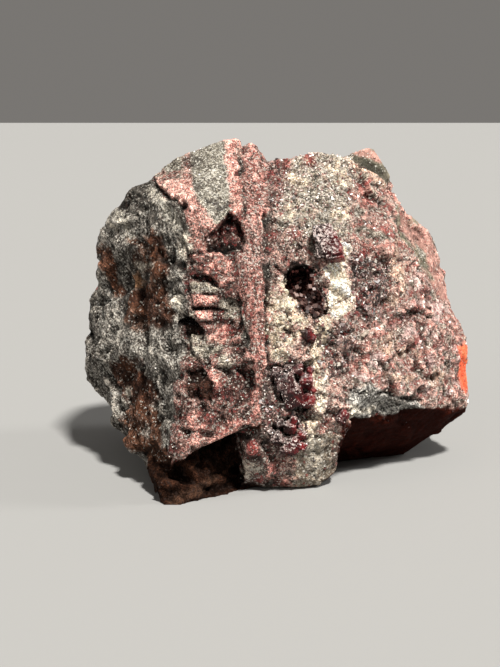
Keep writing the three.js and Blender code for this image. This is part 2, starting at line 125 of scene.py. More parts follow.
def soft_sun(name, towards, strength, spread, tint=(1, 1, 1)):
    """An even light that comes from one direction, soft by its spread in degrees."""
    data = bpy.data.lights.new(name, "SUN")
    data.energy = strength
    data.angle = math.radians(spread)
    data.color = tint
    light = bpy.data.objects.new(name, data)
    bpy.context.scene.collection.objects.link(light)
    light.rotation_euler = (-Vector(towards)).to_track_quat("-Z", "Y").to_euler()
    return light


FLOOR_HALF = 20.0  # metres from the middle of the floor to its edges
floor_corners = [(x * FLOOR_HALF, y * FLOOR_HALF, 0) for x, y in ((-1, -1), (1, -1), (1, 1), (-1, 1))]
floor_mesh = bpy.data.meshes.new("floor")
floor_mesh.from_pydata(floor_corners, [], [(0, 1, 2, 3)])
floor = bpy.data.objects.new("floor", floor_mesh)
bpy.context.scene.collection.objects.link(floor)
floor_finish, _ = principled("pale_floor", Base_Color=(0.30, 0.30, 0.295, 1), Roughness=0.8)
floor_mesh.materials.append(floor_finish)
floor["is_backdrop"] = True

world = bpy.data.worlds.new("studio")
bpy.context.scene.world = world
world.use_nodes = True
surround = world.node_tree.nodes["Background"]
surround.inputs["Color"].default_value = (1, 0.95, 0.89, 1)
surround.inputs["Strength"].default_value = 0.19

soft_sun("key", (0.28, -0.52, 1.0), 6.2, 7, (1, 0.97, 0.92))
soft_sun("fill", (-1.0, -0.9, 0.45), 0.42, 40, (1, 0.96, 0.92))
soft_sun("rim", (1.0, 0.1, 0.6), 1.0, 12, (1, 0.98, 0.95))
print("camera at mm:", np.round(np.array(camera.location) / MM, 1))

# %% [markdown]
# Broken rock is random, but it has to come out the same each time. These helpers give noise that
# depends on nothing but the place: smooth noise for lumps and stains, and a mosaic of grains, in
# which every point knows its own grain and the grain's random numbers.

# %% Repeatable randomness


def grid_random(cells, salt):
    """A repeatable number from 0 to 1 for each whole-number cell."""
    n = cells.astype(np.int64).astype(np.uint32)
    mixed = n[:, 0] * np.uint32(374761393) + n[:, 1] * np.uint32(668265263)
    mixed = mixed + n[:, 2] * np.uint32(2246822519) + np.uint32(salt * 97531 % 2**32)
    mixed = (mixed ^ (mixed >> np.uint32(15))) * np.uint32(2246822519)
    mixed = (mixed ^ (mixed >> np.uint32(13))) * np.uint32(3266489917)
    return (mixed ^ (mixed >> np.uint32(16))) / 2**32


def three_randoms(cells, salt):
    """Three repeatable numbers for each cell, as rows."""
    return np.stack([grid_random(cells, salt + k) for k in range(3)], axis=1)


def soft_noise(points, size, salt):
    """Smooth noise, mostly within -1 to 1, with lumps about `size` across."""
    scaled = points / size
    cell = np.floor(scaled)
    inside = scaled - cell
    ease = inside**3 * (inside * (inside * 6 - 15) + 10)
    total = np.zeros(len(points))
    for corner in itertools.product((0, 1), repeat=3):
        weight = np.prod(np.where(corner, ease, 1 - ease), axis=1)
        slope = three_randoms(cell + corner, salt) * 2 - 1
        total += weight * np.sum(slope * (inside - corner), axis=1)
    return 1.7 * total


def mosaic(points, size, salt):
    """For each point, its place within its grain, and the grain's own three numbers."""
    scaled = points / size
    cell = np.floor(scaled)
    nearest = np.full(len(points), np.inf)
    owner = np.zeros_like(scaled)
    centre = np.zeros_like(scaled)
    for step in itertools.product((-1, 0, 1), repeat=3):
        other = cell + step
        seed = other + three_randoms(other, salt)
        away = np.linalg.norm(seed - scaled, axis=1)
        closer = away < nearest
        nearest = np.where(closer, away, nearest)
        owner[closer] = other[closer]
        centre[closer] = seed[closer]
    return (scaled - centre) * size, three_randoms(owner, salt + 10)


def smooth_step(value, low, high):
    """Rises from 0 to 1 as the value goes from low to high, with no corner at either end."""
    t = np.clip((value - low) / (high - low), 0, 1)
    return t * t * (3 - 2 * t)


test_points = np.random.default_rng(1).uniform(-50, 50, (2000, 3))
test_noise = soft_noise(test_points, 3, 1)
print("soft noise spans", np.round([test_noise.min(), test_noise.max()], 2))

# %% [markdown]
# A rock's zones are outlines on the display face, given as X and Z. The signed distance to an
# outline makes a mask with a soft edge, and noise added to that distance makes the edge wander, as
# a real vein's does. A thin streak or a crack is the same with the distance to a line.

# %% Outlines and lines on the display face


def way_to_segment(flat, start, end):
    """How far each (X, Z) is from a straight piece of a line."""
    start, end = np.array(start), np.array(end)
    along = end - start
    t = np.clip(((flat - start) @ along) / (along @ along), 0, 1)
    return np.linalg.norm(flat - start - t[:, None] * along, axis=1)


def way_into(flat, outline):
    """How far inside an outline each (X, Z) is, in millimetres: negative outside."""
    nearest = np.full(len(flat), np.inf)
    inside = np.zeros(len(flat), bool)
    for (x0, z0), (x1, z1) in zip(outline, outline[1:] + outline[:1]):
        nearest = np.minimum(nearest, way_to_segment(flat, (x0, z0), (x1, z1)))
        crosses = (flat[:, 1] < z0) != (flat[:, 1] < z1)
        at = x0 + (flat[:, 1] - z0) * (x1 - x0) / (z1 - z0 if z1 != z0 else 1)
        inside ^= crosses & (flat[:, 0] < at)
    return np.where(inside, nearest, -nearest)


def way_to_line(flat, line):
    """How far each (X, Z) is from a line of several points."""
    return np.min([way_to_segment(flat, a, b) for a, b in zip(line, line[1:])], axis=0)


RIDGE = [(-31, 80), (-30.5, 69.5), (-25.6, 63.8), (-21.5, 58), (-21, 54), (-21.2, 38), (-22.6, 22),
         (-24.6, 8), (-27, 0)]
LEFT_FLANK = RIDGE + [(-60, 0), (-60, 80)]
GREY_FACET = [(-22, 77), (-12, 83), (-10.8, 70.6), (-10.3, 63.1), (-14.7, 59.6), (-17.0, 62.8),
              (-20.3, 67.4)]
PINK_BAND = [(-31, 73), (-20.8, 80), (-20.6, 71.5), (-19, 66.6), (-15.8, 62.6), (-13.0, 60.0),
             (-15.8, 57.2), (-18.3, 56.2), (-19.9, 58.6), (-21.4, 63.0), (-25.0, 65.8), (-29.2, 68.2)]
VEIN = [(-9.4, 80), (-8.7, 72.7), (-8.2, 64), (-8.4, 58), (-10.0, 53.6), (-10.5, 50.0), (-9.6, 45.4),
        (-8.0, 40.5), (-6.9, 35.5), (-6.4, 28.9), (-6.7, 22.4), (-7.1, 15.2), (-4.4, 15.4), (-4.7, 22.3),
        (-4.1, 29.2), (-3.1, 35.4), (-3.6, 41.9), (-4.0, 47.0), (-4.4, 54), (-4.0, 62), (-2.6, 70),
        (-2.4, 80)]
HOLLOW = [(-11.3, 63.4), (-17.2, 57.1), (-16.3, 54.6), (-9.0, 54.8), (-7.9, 58.0)]
TOP_LEDGE = [(-19.9, 53.2), (-13.8, 53.8), (-10.7, 51.6), (-9.6, 48.2), (-13.8, 46.3), (-15.2, 48.2),
             (-17.9, 49.6), (-19.9, 50.4)]
WEDGE = [(-20.6, 49.9), (-17.0, 49.4), (-14.6, 47.6), (-17.4, 47.4), (-20.6, 48.0)]
GREY_SLAB = [(-20.4, 47.3), (-17.0, 47.6), (-14.3, 46.2), (-14.7, 45.1), (-20.3, 45.2)]
PINK_SLAB = [(-20.2, 44.6), (-14.6, 44.5), (-14.3, 43.5), (-16.0, 42.4), (-19.6, 42.5)]
LOW_SLAB = [(-19.2, 41.4), (-15.8, 41.2), (-15.6, 39.2), (-19.0, 39.4)]
LEDGES = [(-21, 54), (-9.5, 54), (-9.5, 36), (-22, 36)]
BLOCK = [(-21.4, 36.6), (-9, 36), (-7.4, 30), (-5, 24), (-4.4, 18), (-24.6, 8), (-22.6, 22)]
ARCHED_SCOOP = [(-21.4, 28.8), (-18.1, 30.0), (-15, 26.6), (-15.6, 22.4), (-20.6, 23.2)]
RED_RIM = [(-25.4, 7.2), (-18.3, 9.6), (-9.3, 15.6), (-4.6, 18.2), (-4.6, 19.6), (-9.3, 17.3), (-18, 12.0),
           (-24.6, 9.3)]
DARK_PIT = [(-3.2, 75), (1.6, 75), (1.4, 69), (-0.4, 62.5), (-3.2, 62)]
PALE_TOP = [(0, 70), (4, 76), (17.5, 78), (18.5, 70), (16.6, 64.7), (15.6, 57.2), (4.1, 53.6), (-1.6, 58.0)]
RED_TOP = [(17, 74), (28.6, 64), (31, 58), (30, 52), (23.1, 53.2), (15.8, 57.2), (16.8, 66)]
CREAM_CHANNEL = [(12.6, 56.4), (15.8, 54.4), (14.6, 51.5), (15.4, 45.5), (15.6, 41.0), (11.8, 39.7),
                 (9.3, 42.4), (10.2, 46.8), (9.2, 50.1)]
CREAM_WALL = [(-1.6, 48.2), (1.4, 47.4), (3.4, 43.2), (6.4, 40.8), (6.2, 38), (3.1, 35.8), (1.6, 32.4),
              (0.6, 30.4), (-2.2, 31.6), (-3.1, 37.6), (-3.0, 43.8)]
CREAM_TRAIL = [(9.5, 39), (7.4, 33.5), (7.4, 28), (8.4, 22), (7.2, 17), (5.4, 13.2)]
CRYSTAL_PATCH = [(15.9, 53.6), (24.6, 51.4), (25.6, 46), (24.3, 41.8), (20.2, 38.6), (16, 39.6)]
CRYSTAL_WALL = [(-3.2, 30.0), (3, 31.2), (6.6, 28.6), (6.6, 19.1), (5.4, 9.1), (-3.6, 9.5), (-4.6, 20)]
DARK_MIDDLE = [(6.5, 39.5), (16, 38.8), (18, 32), (13.5, 26), (9.4, 27), (8.2, 33)]
COLUMN = [(4.2, 14.9), (14.4, 12.8), (14.6, 4), (9, -1), (2, -1), (2.4, 6)]
PINK_LOBE = [(18, 38.5), (26, 42), (28, 48), (33, 50), (42, 40), (47, 27), (48.5, 14), (31, 17.6),
             (25, 21.4), (16.4, 24), (14, 28)]
KNOB = [(15.5, 79), (27.6, 79), (29, 69), (26.4, 67.6), (21.2, 71.2), (16.2, 75)]
FLAP = [(29, 61), (41, 57), (44, 47), (44, 38), (39, 40), (35.2, 46), (32.2, 53), (30, 57)]
ORANGE_EDGE = [(43.8, 29.0), (50, 29), (50, 18), (45.6, 16.8), (44.6, 22)]
LOBE_RIM = [(41.4, 43), (48, 43), (51, 28.5), (45.0, 28.5), (42.8, 36)]
BLUISH_SHELF = [(14.6, 19.2), (15.9, 23.4), (20.7, 24.2), (25.1, 21.4), (33, 18.2), (34, 15.8),
                (25.7, 15.0), (18.2, 15.2)]
UNDER_LOBE = [(13.6, 15.4), (33, 15.6), (47.4, 13.0), (52, -1), (8, -1), (12.6, 4)]
RECESS = [(-30, 7.6), (-24.2, 8.2), (-9.3, 15.0), (-4.6, 17.6), (-4.6, -1), (-32, -1)]
FOOT_RUBBLE = [(-9, 15), (-3.6, 15.6), (-3.2, 1.4), (-9.2, 0.8)]
print(len(GREY_FACET), "corners outline the grey facet")

# %% [markdown]
# The rock's own surface starts as a copy of its solid. The copy's loose triangles are merged, and it is
# rebuilt as an even net, fine enough to hold lumps of a millimetre. The display side is divided once
# more, because that is where the eye rests, and the back keeps the coarser net to save faces.

# %% An even net over the host rock
NET = 0.93 * MM  # side of the net's faces before the display side is divided
SHOWN_TO = 10  # mm: Y beyond which nothing of the specimen faces the camera


def solid_copy(name):
    """A node's solid as one closed mesh, with its loose triangles merged."""
    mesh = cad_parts[name].data.copy()
    mesh.materials.clear()
    work = bmesh.new()
    work.from_mesh(mesh)
    bmesh.ops.remove_doubles(work, verts=work.verts, dist=0.001 * MM)
    work.to_mesh(mesh)
    work.free()
    return mesh


def evaluated_mesh(piece):
    """What a piece's modifiers make of it, as a plain mesh."""
    graph = bpy.context.evaluated_depsgraph_get()
    return bpy.data.meshes.new_from_object(piece.evaluated_get(graph), depsgraph=graph)


def even_net(mesh, side):
    """The same solid as a net of four-sided faces of one size."""
    piece = bpy.data.objects.new("net", mesh)
    bpy.context.scene.collection.objects.link(piece)
    net = piece.modifiers.new("net", "REMESH")
    net.mode = "VOXEL"
    net.voxel_size = side
    made = evaluated_mesh(piece)
    bpy.data.objects.remove(piece)
    return made


def faces_display(face):
    """Whether a face belongs to the side that is shown."""
    middle = face.calc_center_median()
    to_camera = (camera.location - middle).normalized()
    return (middle.y - DATUM[1]) / MM < SHOWN_TO and face.normal.dot(to_camera) > -0.1


rock_mesh = even_net(solid_copy("host_rock"), NET)
work = bmesh.new()
work.from_mesh(rock_mesh)
bmesh.ops.smooth_vert(work, verts=work.verts, factor=0.35, use_axis_x=True, use_axis_y=True,
                      use_axis_z=True)
shown_edges = {edge for face in work.faces if faces_display(face) for edge in face.edges}
bmesh.ops.subdivide_edges(work, edges=list(shown_edges), cuts=1, use_grid_fill=True)
bmesh.ops.triangulate(work, faces=work.faces)
work.to_mesh(rock_mesh)
work.free()
print("host rock net:", len(rock_mesh.vertices), "points,", len(rock_mesh.polygons), "triangles")

# %% Points and normals of the net


def read_vectors(mesh, what):
    """Every vertex's position or normal, as rows."""
    values = np.zeros(len(mesh.vertices) * 3)
    if what == "normal":
        mesh.vertex_normals.foreach_get("vector", values)
    else:
        mesh.vertices.foreach_get("co", values)
    return values.reshape(-1, 3)


def edge_ends(mesh):
    """The two points of every edge, as two rows."""
    ends = np.zeros(len(mesh.edges) * 2, int)
    mesh.edges.foreach_get("vertices", ends)
    return ends.reshape(-1, 2).T


start_points = read_vectors(rock_mesh, "position")
normals = read_vectors(rock_mesh, "normal")
spot = (start_points - DATUM) / MM
flat = spot[:, [0, 2]]
print("span in mm:", np.round(spot.min(0), 1), np.round(spot.max(0), 1))

# %% [markdown]
# Each zone becomes a mask from 0 to 1 on the net's points. Outlines only hold for the display side, so
# every mask fades out towards the back. Two sizes of noise are added to the distance, so that edges
# wander by a millimetre and fray by a few tenths.

# %% A mask for each zone
FRONT_FADES = (7, 15)  # mm: Y between which every mask of the display side fades out
front = 1 - smooth_step(spot[:, 1], *FRONT_FADES)
wandering = 0.9 * soft_noise(spot, 4.0, 21) + 0.5 * soft_noise(spot, 1.3, 22)


def zone(outline, soft=0.5, ragged=1.0):
    """The inside of an outline, with an edge that is soft over so many millimetres."""
    return smooth_step(way_into(flat, outline) + ragged * wandering, -soft, soft) * front


def along(line, half_width, soft=0.5, ragged=1.0):
    """A band along a line."""
    return smooth_step(half_width - way_to_line(flat, line) + ragged * wandering, -soft, soft) * front


def patch(x, z, half_width, half_height, lean):
    """A ragged oval that leans by some degrees."""
    across, up = flat[:, 0] - x, flat[:, 1] - z
    turn = math.radians(lean)
    along_it = across * math.cos(turn) + up * math.sin(turn)
    over_it = up * math.cos(turn) - across * math.sin(turn)
    inside = 1 - np.hypot(along_it / half_width, over_it / half_height)
    return smooth_step(inside * min(half_width, half_height) + 0.9 * wandering, -0.5, 0.5) * front


flank = zone(LEFT_FLANK, 0.8, 0.8)
grey = zone(GREY_FACET, 0.4, 0.4)
pink_band = zone(PINK_BAND, 0.4, 0.7)
vein = zone(VEIN, 0.5, 0.7)
facing_down = smooth_step(-normals[:, 2], 0.2, 0.6)
right_of_vein = flat[:, 0] + 2.4 + 0.8 * wandering + 1.2 * soft_noise(spot, 7, 23)
crystalline = smooth_step(right_of_vein, -0.8, 0.8) * front * (1 - facing_down)
print("share of points on the display side:", round(float(front.mean()), 2))

# %% [markdown]
# Now the surface is broken. Fracture leaves blocks and chips that each tilt their own way, so most of
# the relief is flat facets that meet in creases. The left flank was dissolved and regrown, so it is
# knobbly and fibrous. Thin ledges step down beside the vein, the vein itself is drawn out in upright
# streaks, and the grey facet is one clean break that stays nearly flat.

# %% Heights of the broken surface
LEDGE_PITCH = 2.5  # mm from one thin ledge to the next
upright = spot * [1, 1, 0.22]  # noise read here is drawn out upwards
slanting = spot @ np.array([[0.8, 0, -0.24], [0, 1, 0], [0.6, 0, 0.32]])  # and here up to the left


def lumps(octaves, salt, where=spot):
    """A sum of soft noises, each given by its size and how far it stands out, in mm."""
    return sum(amount * soft_noise(where, size, salt + i) for i, (size, amount) in enumerate(octaves))


def knobs(octaves, salt):
    """Round knobs with sharp creases between them."""
    return sum(amount * (np.abs(soft_noise(spot, size, salt + i)) - 0.3)
               for i, (size, amount) in enumerate(octaves))


def facets(size, tilt, step, salt, crispness):
    """Heights of flat facets that meet in creases, tilted by up to `tilt` and set in or out by `step`."""
    scaled = spot / size
    cell = np.floor(scaled)
    total = np.zeros(len(spot))
    weights = np.zeros(len(spot))
    for side_step in itertools.product((-1, 0, 1), repeat=3):
        other = cell + side_step
        offset = scaled - other - three_randoms(other, salt)
        numbers = three_randoms(other, salt + 10)
        weight = np.exp(-crispness * np.sum(offset**2, axis=1))
        slope = np.sum(offset * (numbers - 0.5), axis=1) * 2 * tilt * size
        total += weight * (slope + (numbers[:, 0] - 0.5) * step)
        weights += weight
    return total / weights


blocks = facets(9.0, 0.40, 1.0, 20, 26)
chips = facets(4.2, 0.36, 0.4, 30, 22)
coarse_grains = facets(1.9, 0.45, 0.25, 40, 16)
fine_grains = facets(1.1, 0.55, 0.2, 60, 14)
print("coarse grains span", np.round([coarse_grains.min(), coarse_grains.max()], 2), "mm")

# %% Knobs, fibres, streaks and ledges
broken = lumps(((9.0, 0.8), (4.6, 0.5), (2.4, 0.3)), 1)
knobbly = knobs(((8.5, 1.2), (3.6, 0.4), (1.6, 0.2)), 11)
fibres = sum(amount * (0.3 - np.abs(soft_noise(slanting, size, salt)))
             for size, amount, salt in ((2.4, 0.5, 5), (1.3, 0.5, 6), (0.75, 0.3, 7)))
streaks = lumps(((1.3, 0.3), (0.7, 0.2)), 8, upright)
LEDGES_FADE = (-15.5, -12.5)  # mm: X between which the ledges die out towards the vein
ledge_phase = flat[:, 1] + 0.22 * flat[:, 0] + 0.9 * soft_noise(spot, 5, 14)
ledge_phase = ledge_phase + 0.3 * soft_noise(spot, 1.6, 15)
ledge_side = 1 - smooth_step(flat[:, 0] + 0.8 * wandering, *LEDGES_FADE)
strata = 0.3 * (0.5 - np.mod(ledge_phase / LEDGE_PITCH, 1)) * ledge_side
slabs = 0.9 * sum(zone(outline, 0.25, 0.3) for outline in (TOP_LEDGE, GREY_SLAB, PINK_SLAB, LOW_SLAB))
slabs = slabs - 0.5 * ledge_side
print("share of points among the ledges:", round(float(zone(LEDGES).mean()), 3))

# %% Each zone's own relief
height = 1.0 * blocks + 0.8 * chips + 0.3 * coarse_grains


def shape(what, mask):
    """Gives a zone its own relief, in mm."""
    height[:] = height * (1 - mask) + what * mask


shape(0.8 * knobbly + 0.7 * blocks + 0.6 * chips + 0.8 * fibres + 0.3 * fine_grains, flank)
shape(strata + slabs + 0.6 * chips + 0.5 * coarse_grains + 0.4 * fine_grains, zone(LEDGES))
shape(0.9 * blocks + 1.0 * chips + 0.5 * coarse_grains + 0.4 * fine_grains, zone(BLOCK))
shape(0.5 * blocks + 0.6 * chips + 0.8 * coarse_grains + 0.7 * fine_grains, crystalline)
shape(0.5 * blocks + 0.4 * chips + 0.8 * coarse_grains + 0.5 * fine_grains, zone(PINK_LOBE))
shape(0.5 * blocks + 0.6 * chips + 0.6 * coarse_grains + 0.4 * fine_grains, zone(RED_TOP))
shape(0.3 * blocks + 0.4 * chips + 0.3 * coarse_grains + 0.4 * fine_grains, zone(COLUMN))
shape(0.2 * chips + 0.8 * streaks + 0.3 * fine_grains + 0.35, vein)
shape(0.3 * chips + 0.3 * coarse_grains + 0.5 * fine_grains, pink_band)
shape(0.16 * broken + 0.25 * fine_grains, grey)
rims = sum(zone(outline) for outline in (FLAP, KNOB, ORANGE_EDGE, RED_RIM))
smooth_edge = np.clip(rims + 0.8 * zone(LOBE_RIM, 1.0, 0.3) + facing_down * front, 0, 1)
shape(0.25 * blocks + 0.3 * chips + 0.2 * fine_grains, smooth_edge)
SCOOP_DEPTH = 1.3  # mm
scoop = zone(ARCHED_SCOOP, 0.25, 0.25)
height -= SCOOP_DEPTH * scoop
print("height spans", np.round([height.min(), height.max()], 2), "mm")

# %% [markdown]
# Pits and cracks are dents with round shoulders: each one's depth falls off with the distance from its
# middle or from its line, like a bell curve. The noise that frays the zones' edges bends them too.

# %% Pits and cracks
PITS = (  # X, Z, reach and depth in mm
    (-22.3, 64.1, 1.2, 1.2), (-38.0, 63.4, 1.5, 1.4), (-25.6, 51.6, 1.6, 1.4), (-22.8, 51.0, 1.2, 1.2),
    (-26.4, 46.0, 1.2, 0.9), (-37.7, 13.9, 1.3, 1.2), (-34.5, 55.5, 1.4, 1.0),
    (-37.2, 60.6, 1.0, 0.8), (-33.5, 45.2, 1.6, 0.9), (-24.0, 44.4, 1.1, 0.9), (-0.6, 71.2, 1.0, 0.9),
    (0.3, 67.4, 0.8, 0.7), (17.6, 41.0, 0.9, 1.0), (20.4, 44.9, 1.0, 0.9), (22.4, 48.6, 0.9, 0.8),
    (18.6, 50.4, 0.8, 0.8), (28.0, 67.5, 1.4, 1.2), (40.4, 46.7, 1.2, 1.0), (13.4, 36.4, 0.8, 0.7),
    (-13.2, 20.8, 1.0, 0.8), (-8.4, 30.3, 0.9, 0.8),
)
CRACKS = (  # lines of (X, Z), half width and depth in mm
    ([(-16.6, 54.6), (-13, 54.4), (-9.4, 54.6)], 0.5, 1.3),
    ([(-22.6, 39.4), (-20.4, 37.7), (-18.2, 36.6)], 1.0, 2.4),
    ([(-20.4, 48.6), (-17, 48.4), (-14.6, 47.2)], 0.5, 1.0),
    ([(-20.2, 41.9), (-16, 41.8), (-12, 41.4)], 0.35, 1.1),
    ([(-11.6, 62.4), (-11.7, 58.6)], 0.5, 0.8),
    ([(-8.7, 81), (-8.5, 75.6)], 0.7, 1.6),
    ([(22.8, 27.6), (24.6, 26.6), (26.6, 25.2)], 0.25, 0.6),
    ([(22.4, 21.0), (26, 20.4), (31.4, 18.5), (34, 17.6)], 0.5, 1.3),
    ([(-3.0, 46.5), (-3.6, 41), (-3.4, 35), (-3.0, 31.5)], 0.35, 0.9),
    ([(-2.6, 52), (0.4, 49.6), (2.2, 49.0)], 0.3, 0.6),
)
dent = np.zeros(len(spot))
for x, z, reach, depth in PITS:
    away = np.linalg.norm(flat - (x, z), axis=1) + 0.5 * wandering
    dent += depth * np.exp(-((away / reach) ** 2)) * front
for line, half_width, depth in CRACKS:
    away = way_to_line(flat, line) + 0.25 * wandering
    dent += depth * np.exp(-((away / half_width) ** 2)) * front
height -= dent
print("deepest dent:", round(float(dent.max()), 2), "mm")

# %% [markdown]
# Averaging a point with its neighbours again and again gives the rock as it would be without its relief.
# Where the rock stands out from that, it is an edge: relief there would only make the outline ragged, so
# it is held back. The same measure finds the hollows later on.

# %% Edges keep their line
first, second = edge_ends(rock_mesh)
neighbours = np.bincount(first, minlength=len(spot)) + np.bincount(second, minlength=len(spot))
OWN_SHARE = 0.4  # what a point keeps of its own value in each round of averaging


def spread_out(values, rounds):
    """Values of the net's points, each averaged again and again with its neighbours."""
    for _ in range(rounds):
        around = np.bincount(first, values[second], len(spot))
        around = around + np.bincount(second, values[first], len(spot))
        values = OWN_SHARE * values + (1 - OWN_SHARE) * around / neighbours
    return values


def hollowness(at, rounds):
    """How far each point lies below its surroundings, in mm."""
    calmed = np.stack([spread_out(at[:, axis], rounds) for axis in range(3)], axis=1)
    return np.sum((calmed - at) * normals, axis=1) / MM


EDGE_ROUNDS = 30
EDGE_FROM = (0.12, 0.5)  # mm that a point stands out by, over which it comes to count as an edge
HELD_BACK = 0.6  # share of the relief that is held back on an edge
WORN_OFF = 0.25  # mm worn off an edge
FLANK_SUNK = 0.3  # mm by which the left flank is set back
edge = smooth_step(-hollowness(start_points, EDGE_ROUNDS), *EDGE_FROM)
height = height * (1 - HELD_BACK * edge) - WORN_OFF * edge - FLANK_SUNK * flank
print("share of points on an edge:", round(float((edge > 0.5).mean()), 3))

# %% Move the points, and keep the ground face flat
GROUND_CALM = (0.02, 1.2)  # mm above the ground over which the relief fades in
DEEPEST = -2.8  # the most that a dent may go in, in mm
STAND_PROUD = 1.3  # the most that a lump may stand out, in mm
calm = smooth_step(start_points[:, 2] / MM, *GROUND_CALM)
height = np.clip(height, DEEPEST, STAND_PROUD)
points = start_points + normals * (height * calm * MM)[:, None]
points[:, 2] = np.maximum(points[:, 2], np.minimum(start_points[:, 2], 0.3 * MM))
points[:, 2] = np.maximum(points[:, 2], 0)
rock_mesh.vertices.foreach_set("co", points.ravel())
rock_mesh.update()
print("moved by up to", round(float(np.abs(height * calm).max()), 2), "mm")

# %% [markdown]
# A finish is the colour of the rock's groundmass, how much its grains differ, and what share of them
# are pale, dark or red. Each zone gets one, laid over the last, and what results is kept on the net's
# points as attributes. The shader only has to turn shares into grains.

# %% Finishes


def shade(red, green, blue):
    """A colour given in the 0 to 255 of a screen, as light: the screen's own curve (sRGB) undone."""
    part = np.array([red, green, blue]) / 255
    return np.where(part <= 0.04045, part / 12.92, ((part + 0.055) / 1.055) ** 2.4)


def finish(colour, contrast, pale, dark, red, gloss):
    """One row of what a point of the rock needs to know of its finish."""
    return np.concatenate([shade(*colour), [contrast, pale, dark, red, gloss]])


DARK_DOLOMITE = finish((68, 64, 59), 0.8, 0.06, 0.12, 0.00, 0.5)
SILVER = finish((106, 101, 94), 1.0, 0.24, 0.14, 0.00, 1.0)
PALE_SILVER = finish((150, 144, 132), 0.9, 0.26, 0.10, 0.00, 1.0)
RUST = finish((64, 37, 25), 0.45, 0.03, 0.12, 0.00, 0.2)
BROWN = finish((84, 54, 39), 0.45, 0.04, 0.12, 0.00, 0.2)
OCHRE = finish((132, 98, 72), 0.4, 0.02, 0.05, 0.00, 0.2)
ORANGE_BROWN = finish((106, 67, 48), 0.5, 0.02, 0.12, 0.00, 0.2)
PALE_LUMP = finish((192, 182, 166), 0.6, 0.24, 0.08, 0.00, 0.8)
FACET_GREY = finish((112, 107, 97), 0.85, 0.20, 0.12, 0.00, 0.5)
SLAB_GREY = finish((118, 112, 101), 0.9, 0.12, 0.14, 0.00, 0.5)
SALMON = finish((178, 128, 117), 0.9, 0.18, 0.06, 0.12, 0.4)
BAND_PINK = finish((198, 148, 136), 0.9, 0.20, 0.06, 0.10, 0.4)
VEIN_PINK = finish((126, 89, 81), 1.0, 0.16, 0.10, 0.12, 0.5)
OLD_PINK = finish((88, 66, 60), 1.1, 0.14, 0.16, 0.10, 0.5)
MAROON = finish((62, 32, 29), 0.8, 0.05, 0.22, 0.18, 0.6)
PURPLE = finish((112, 88, 81), 1.2, 0.16, 0.20, 0.12, 0.8)
SUGARY = finish((124, 115, 103), 0.7, 0.26, 0.08, 0.03, 1.0)
CREAM = finish((196, 177, 154), 0.6, 0.24, 0.03, 0.01, 0.6)
WHITE_CREAM = finish((250, 232, 208), 0.6, 0.24, 0.02, 0.01, 0.6)
PEACH = finish((178, 150, 131), 0.6, 0.18, 0.06, 0.04, 0.5)
SPECKLED_RED = finish((144, 116, 106), 0.7, 0.20, 0.10, 0.12, 0.8)
CRYSTAL_DARK = finish((88, 71, 65), 1.2, 0.16, 0.22, 0.12, 1.0)
LOBE_PINK = finish((148, 118, 109), 0.45, 0.14, 0.10, 0.10, 0.9)
LILAC = finish((200, 170, 164), 0.4, 0.14, 0.04, 0.04, 1.0)
CHERRY = finish((116, 44, 41), 0.5, 0.05, 0.10, 0.20, 0.8)
FLAP_PINK = finish((186, 142, 130), 0.35, 0.05, 0.04, 0.04, 0.4)
FLAP_GREY = finish((118, 114, 98), 0.3, 0.02, 0.06, 0.00, 0.5)
KNOB_PALE = finish((112, 106, 92), 0.3, 0.06, 0.02, 0.00, 0.4)
KNOB_GREEN = finish((72, 70, 60), 0.3, 0.02, 0.12, 0.00, 0.4)
VERMILION = finish((252, 113, 79), 0.1, 0.00, 0.00, 0.05, 0.2)
BLUISH = finish((136, 133, 128), 1.1, 0.24, 0.18, 0.00, 1.0)
# painted shade: the underside and the recess get browns far darker than the rock, for the shade below the
# overhangs
UNDERSIDE_SHADE = finish((44, 14, 7), 0.3, 0.00, 0.00, 0.00, 0.0)
RECESS_SHADE_BROWN = finish((34, 19, 12), 0.6, 0.00, 0.14, 0.00, 0.0)
# painted light: a lighter brown for the strip along the foot's bottom edge, lit from below
FOOT_BOUNCE_LIGHT = finish((58, 40, 30), 0.4, 0.00, 0.10, 0.00, 0.1)
COLUMN_GREY = finish((124, 112, 98), 0.6, 0.20, 0.08, 0.03, 0.6)
LUMP_WHITE = finish((178, 166, 152), 0.6, 0.22, 0.10, 0.02, 0.6)
# painted shade: nearly black, for cracks, pits and holes where hardly any light comes out
SHADE_BLACK = finish((12, 8, 7), 0.3, 0.00, 0.10, 0.02, 0.1)
print("colour, contrast, pale, dark, red, gloss of the vein:", np.round(VEIN_PINK, 2))

# %% [markdown]
# Laying finishes works as a painter's glazes do: each covers what is below it by its mask, so the order
# counts. Whole zones come first, then what noise scatters in them, then single patches and streaks. The
# back and the sides have no zones: they are dark rock with red stains and pink seams all through.

# %% The back and the sides
cover = np.tile(DARK_DOLOMITE, (len(spot), 1))
stain_slow = soft_noise(spot, 9, 31) + 0.5 * soft_noise(spot, 3.5, 32)
stain_mid = soft_noise(spot, 3.0, 33) + 0.5 * soft_noise(spot, 1.3, 34)
seam = 1 - smooth_step(np.abs(soft_noise(spot, 16, 35) + 0.25 * soft_noise(spot, 4, 36)), 0.03, 0.10)


def lay(what, mask):
    """Covers the rock with a finish where its mask is 1."""
    cover[:] = cover * (1 - mask[:, None]) + what * mask[:, None]


def lay_patches(what, strength, *places):
    """Covers ragged ovals, each given by X, Z, half width, half height and lean."""
    lay(what, strength * np.max([patch(*place_of) for place_of in places], axis=0))


def lay_streak(what, strength, half_width, *line):
    """Covers a ragged line of (X, Z)."""
    lay(what, strength * along(list(line), half_width, 0.4, 0.8))


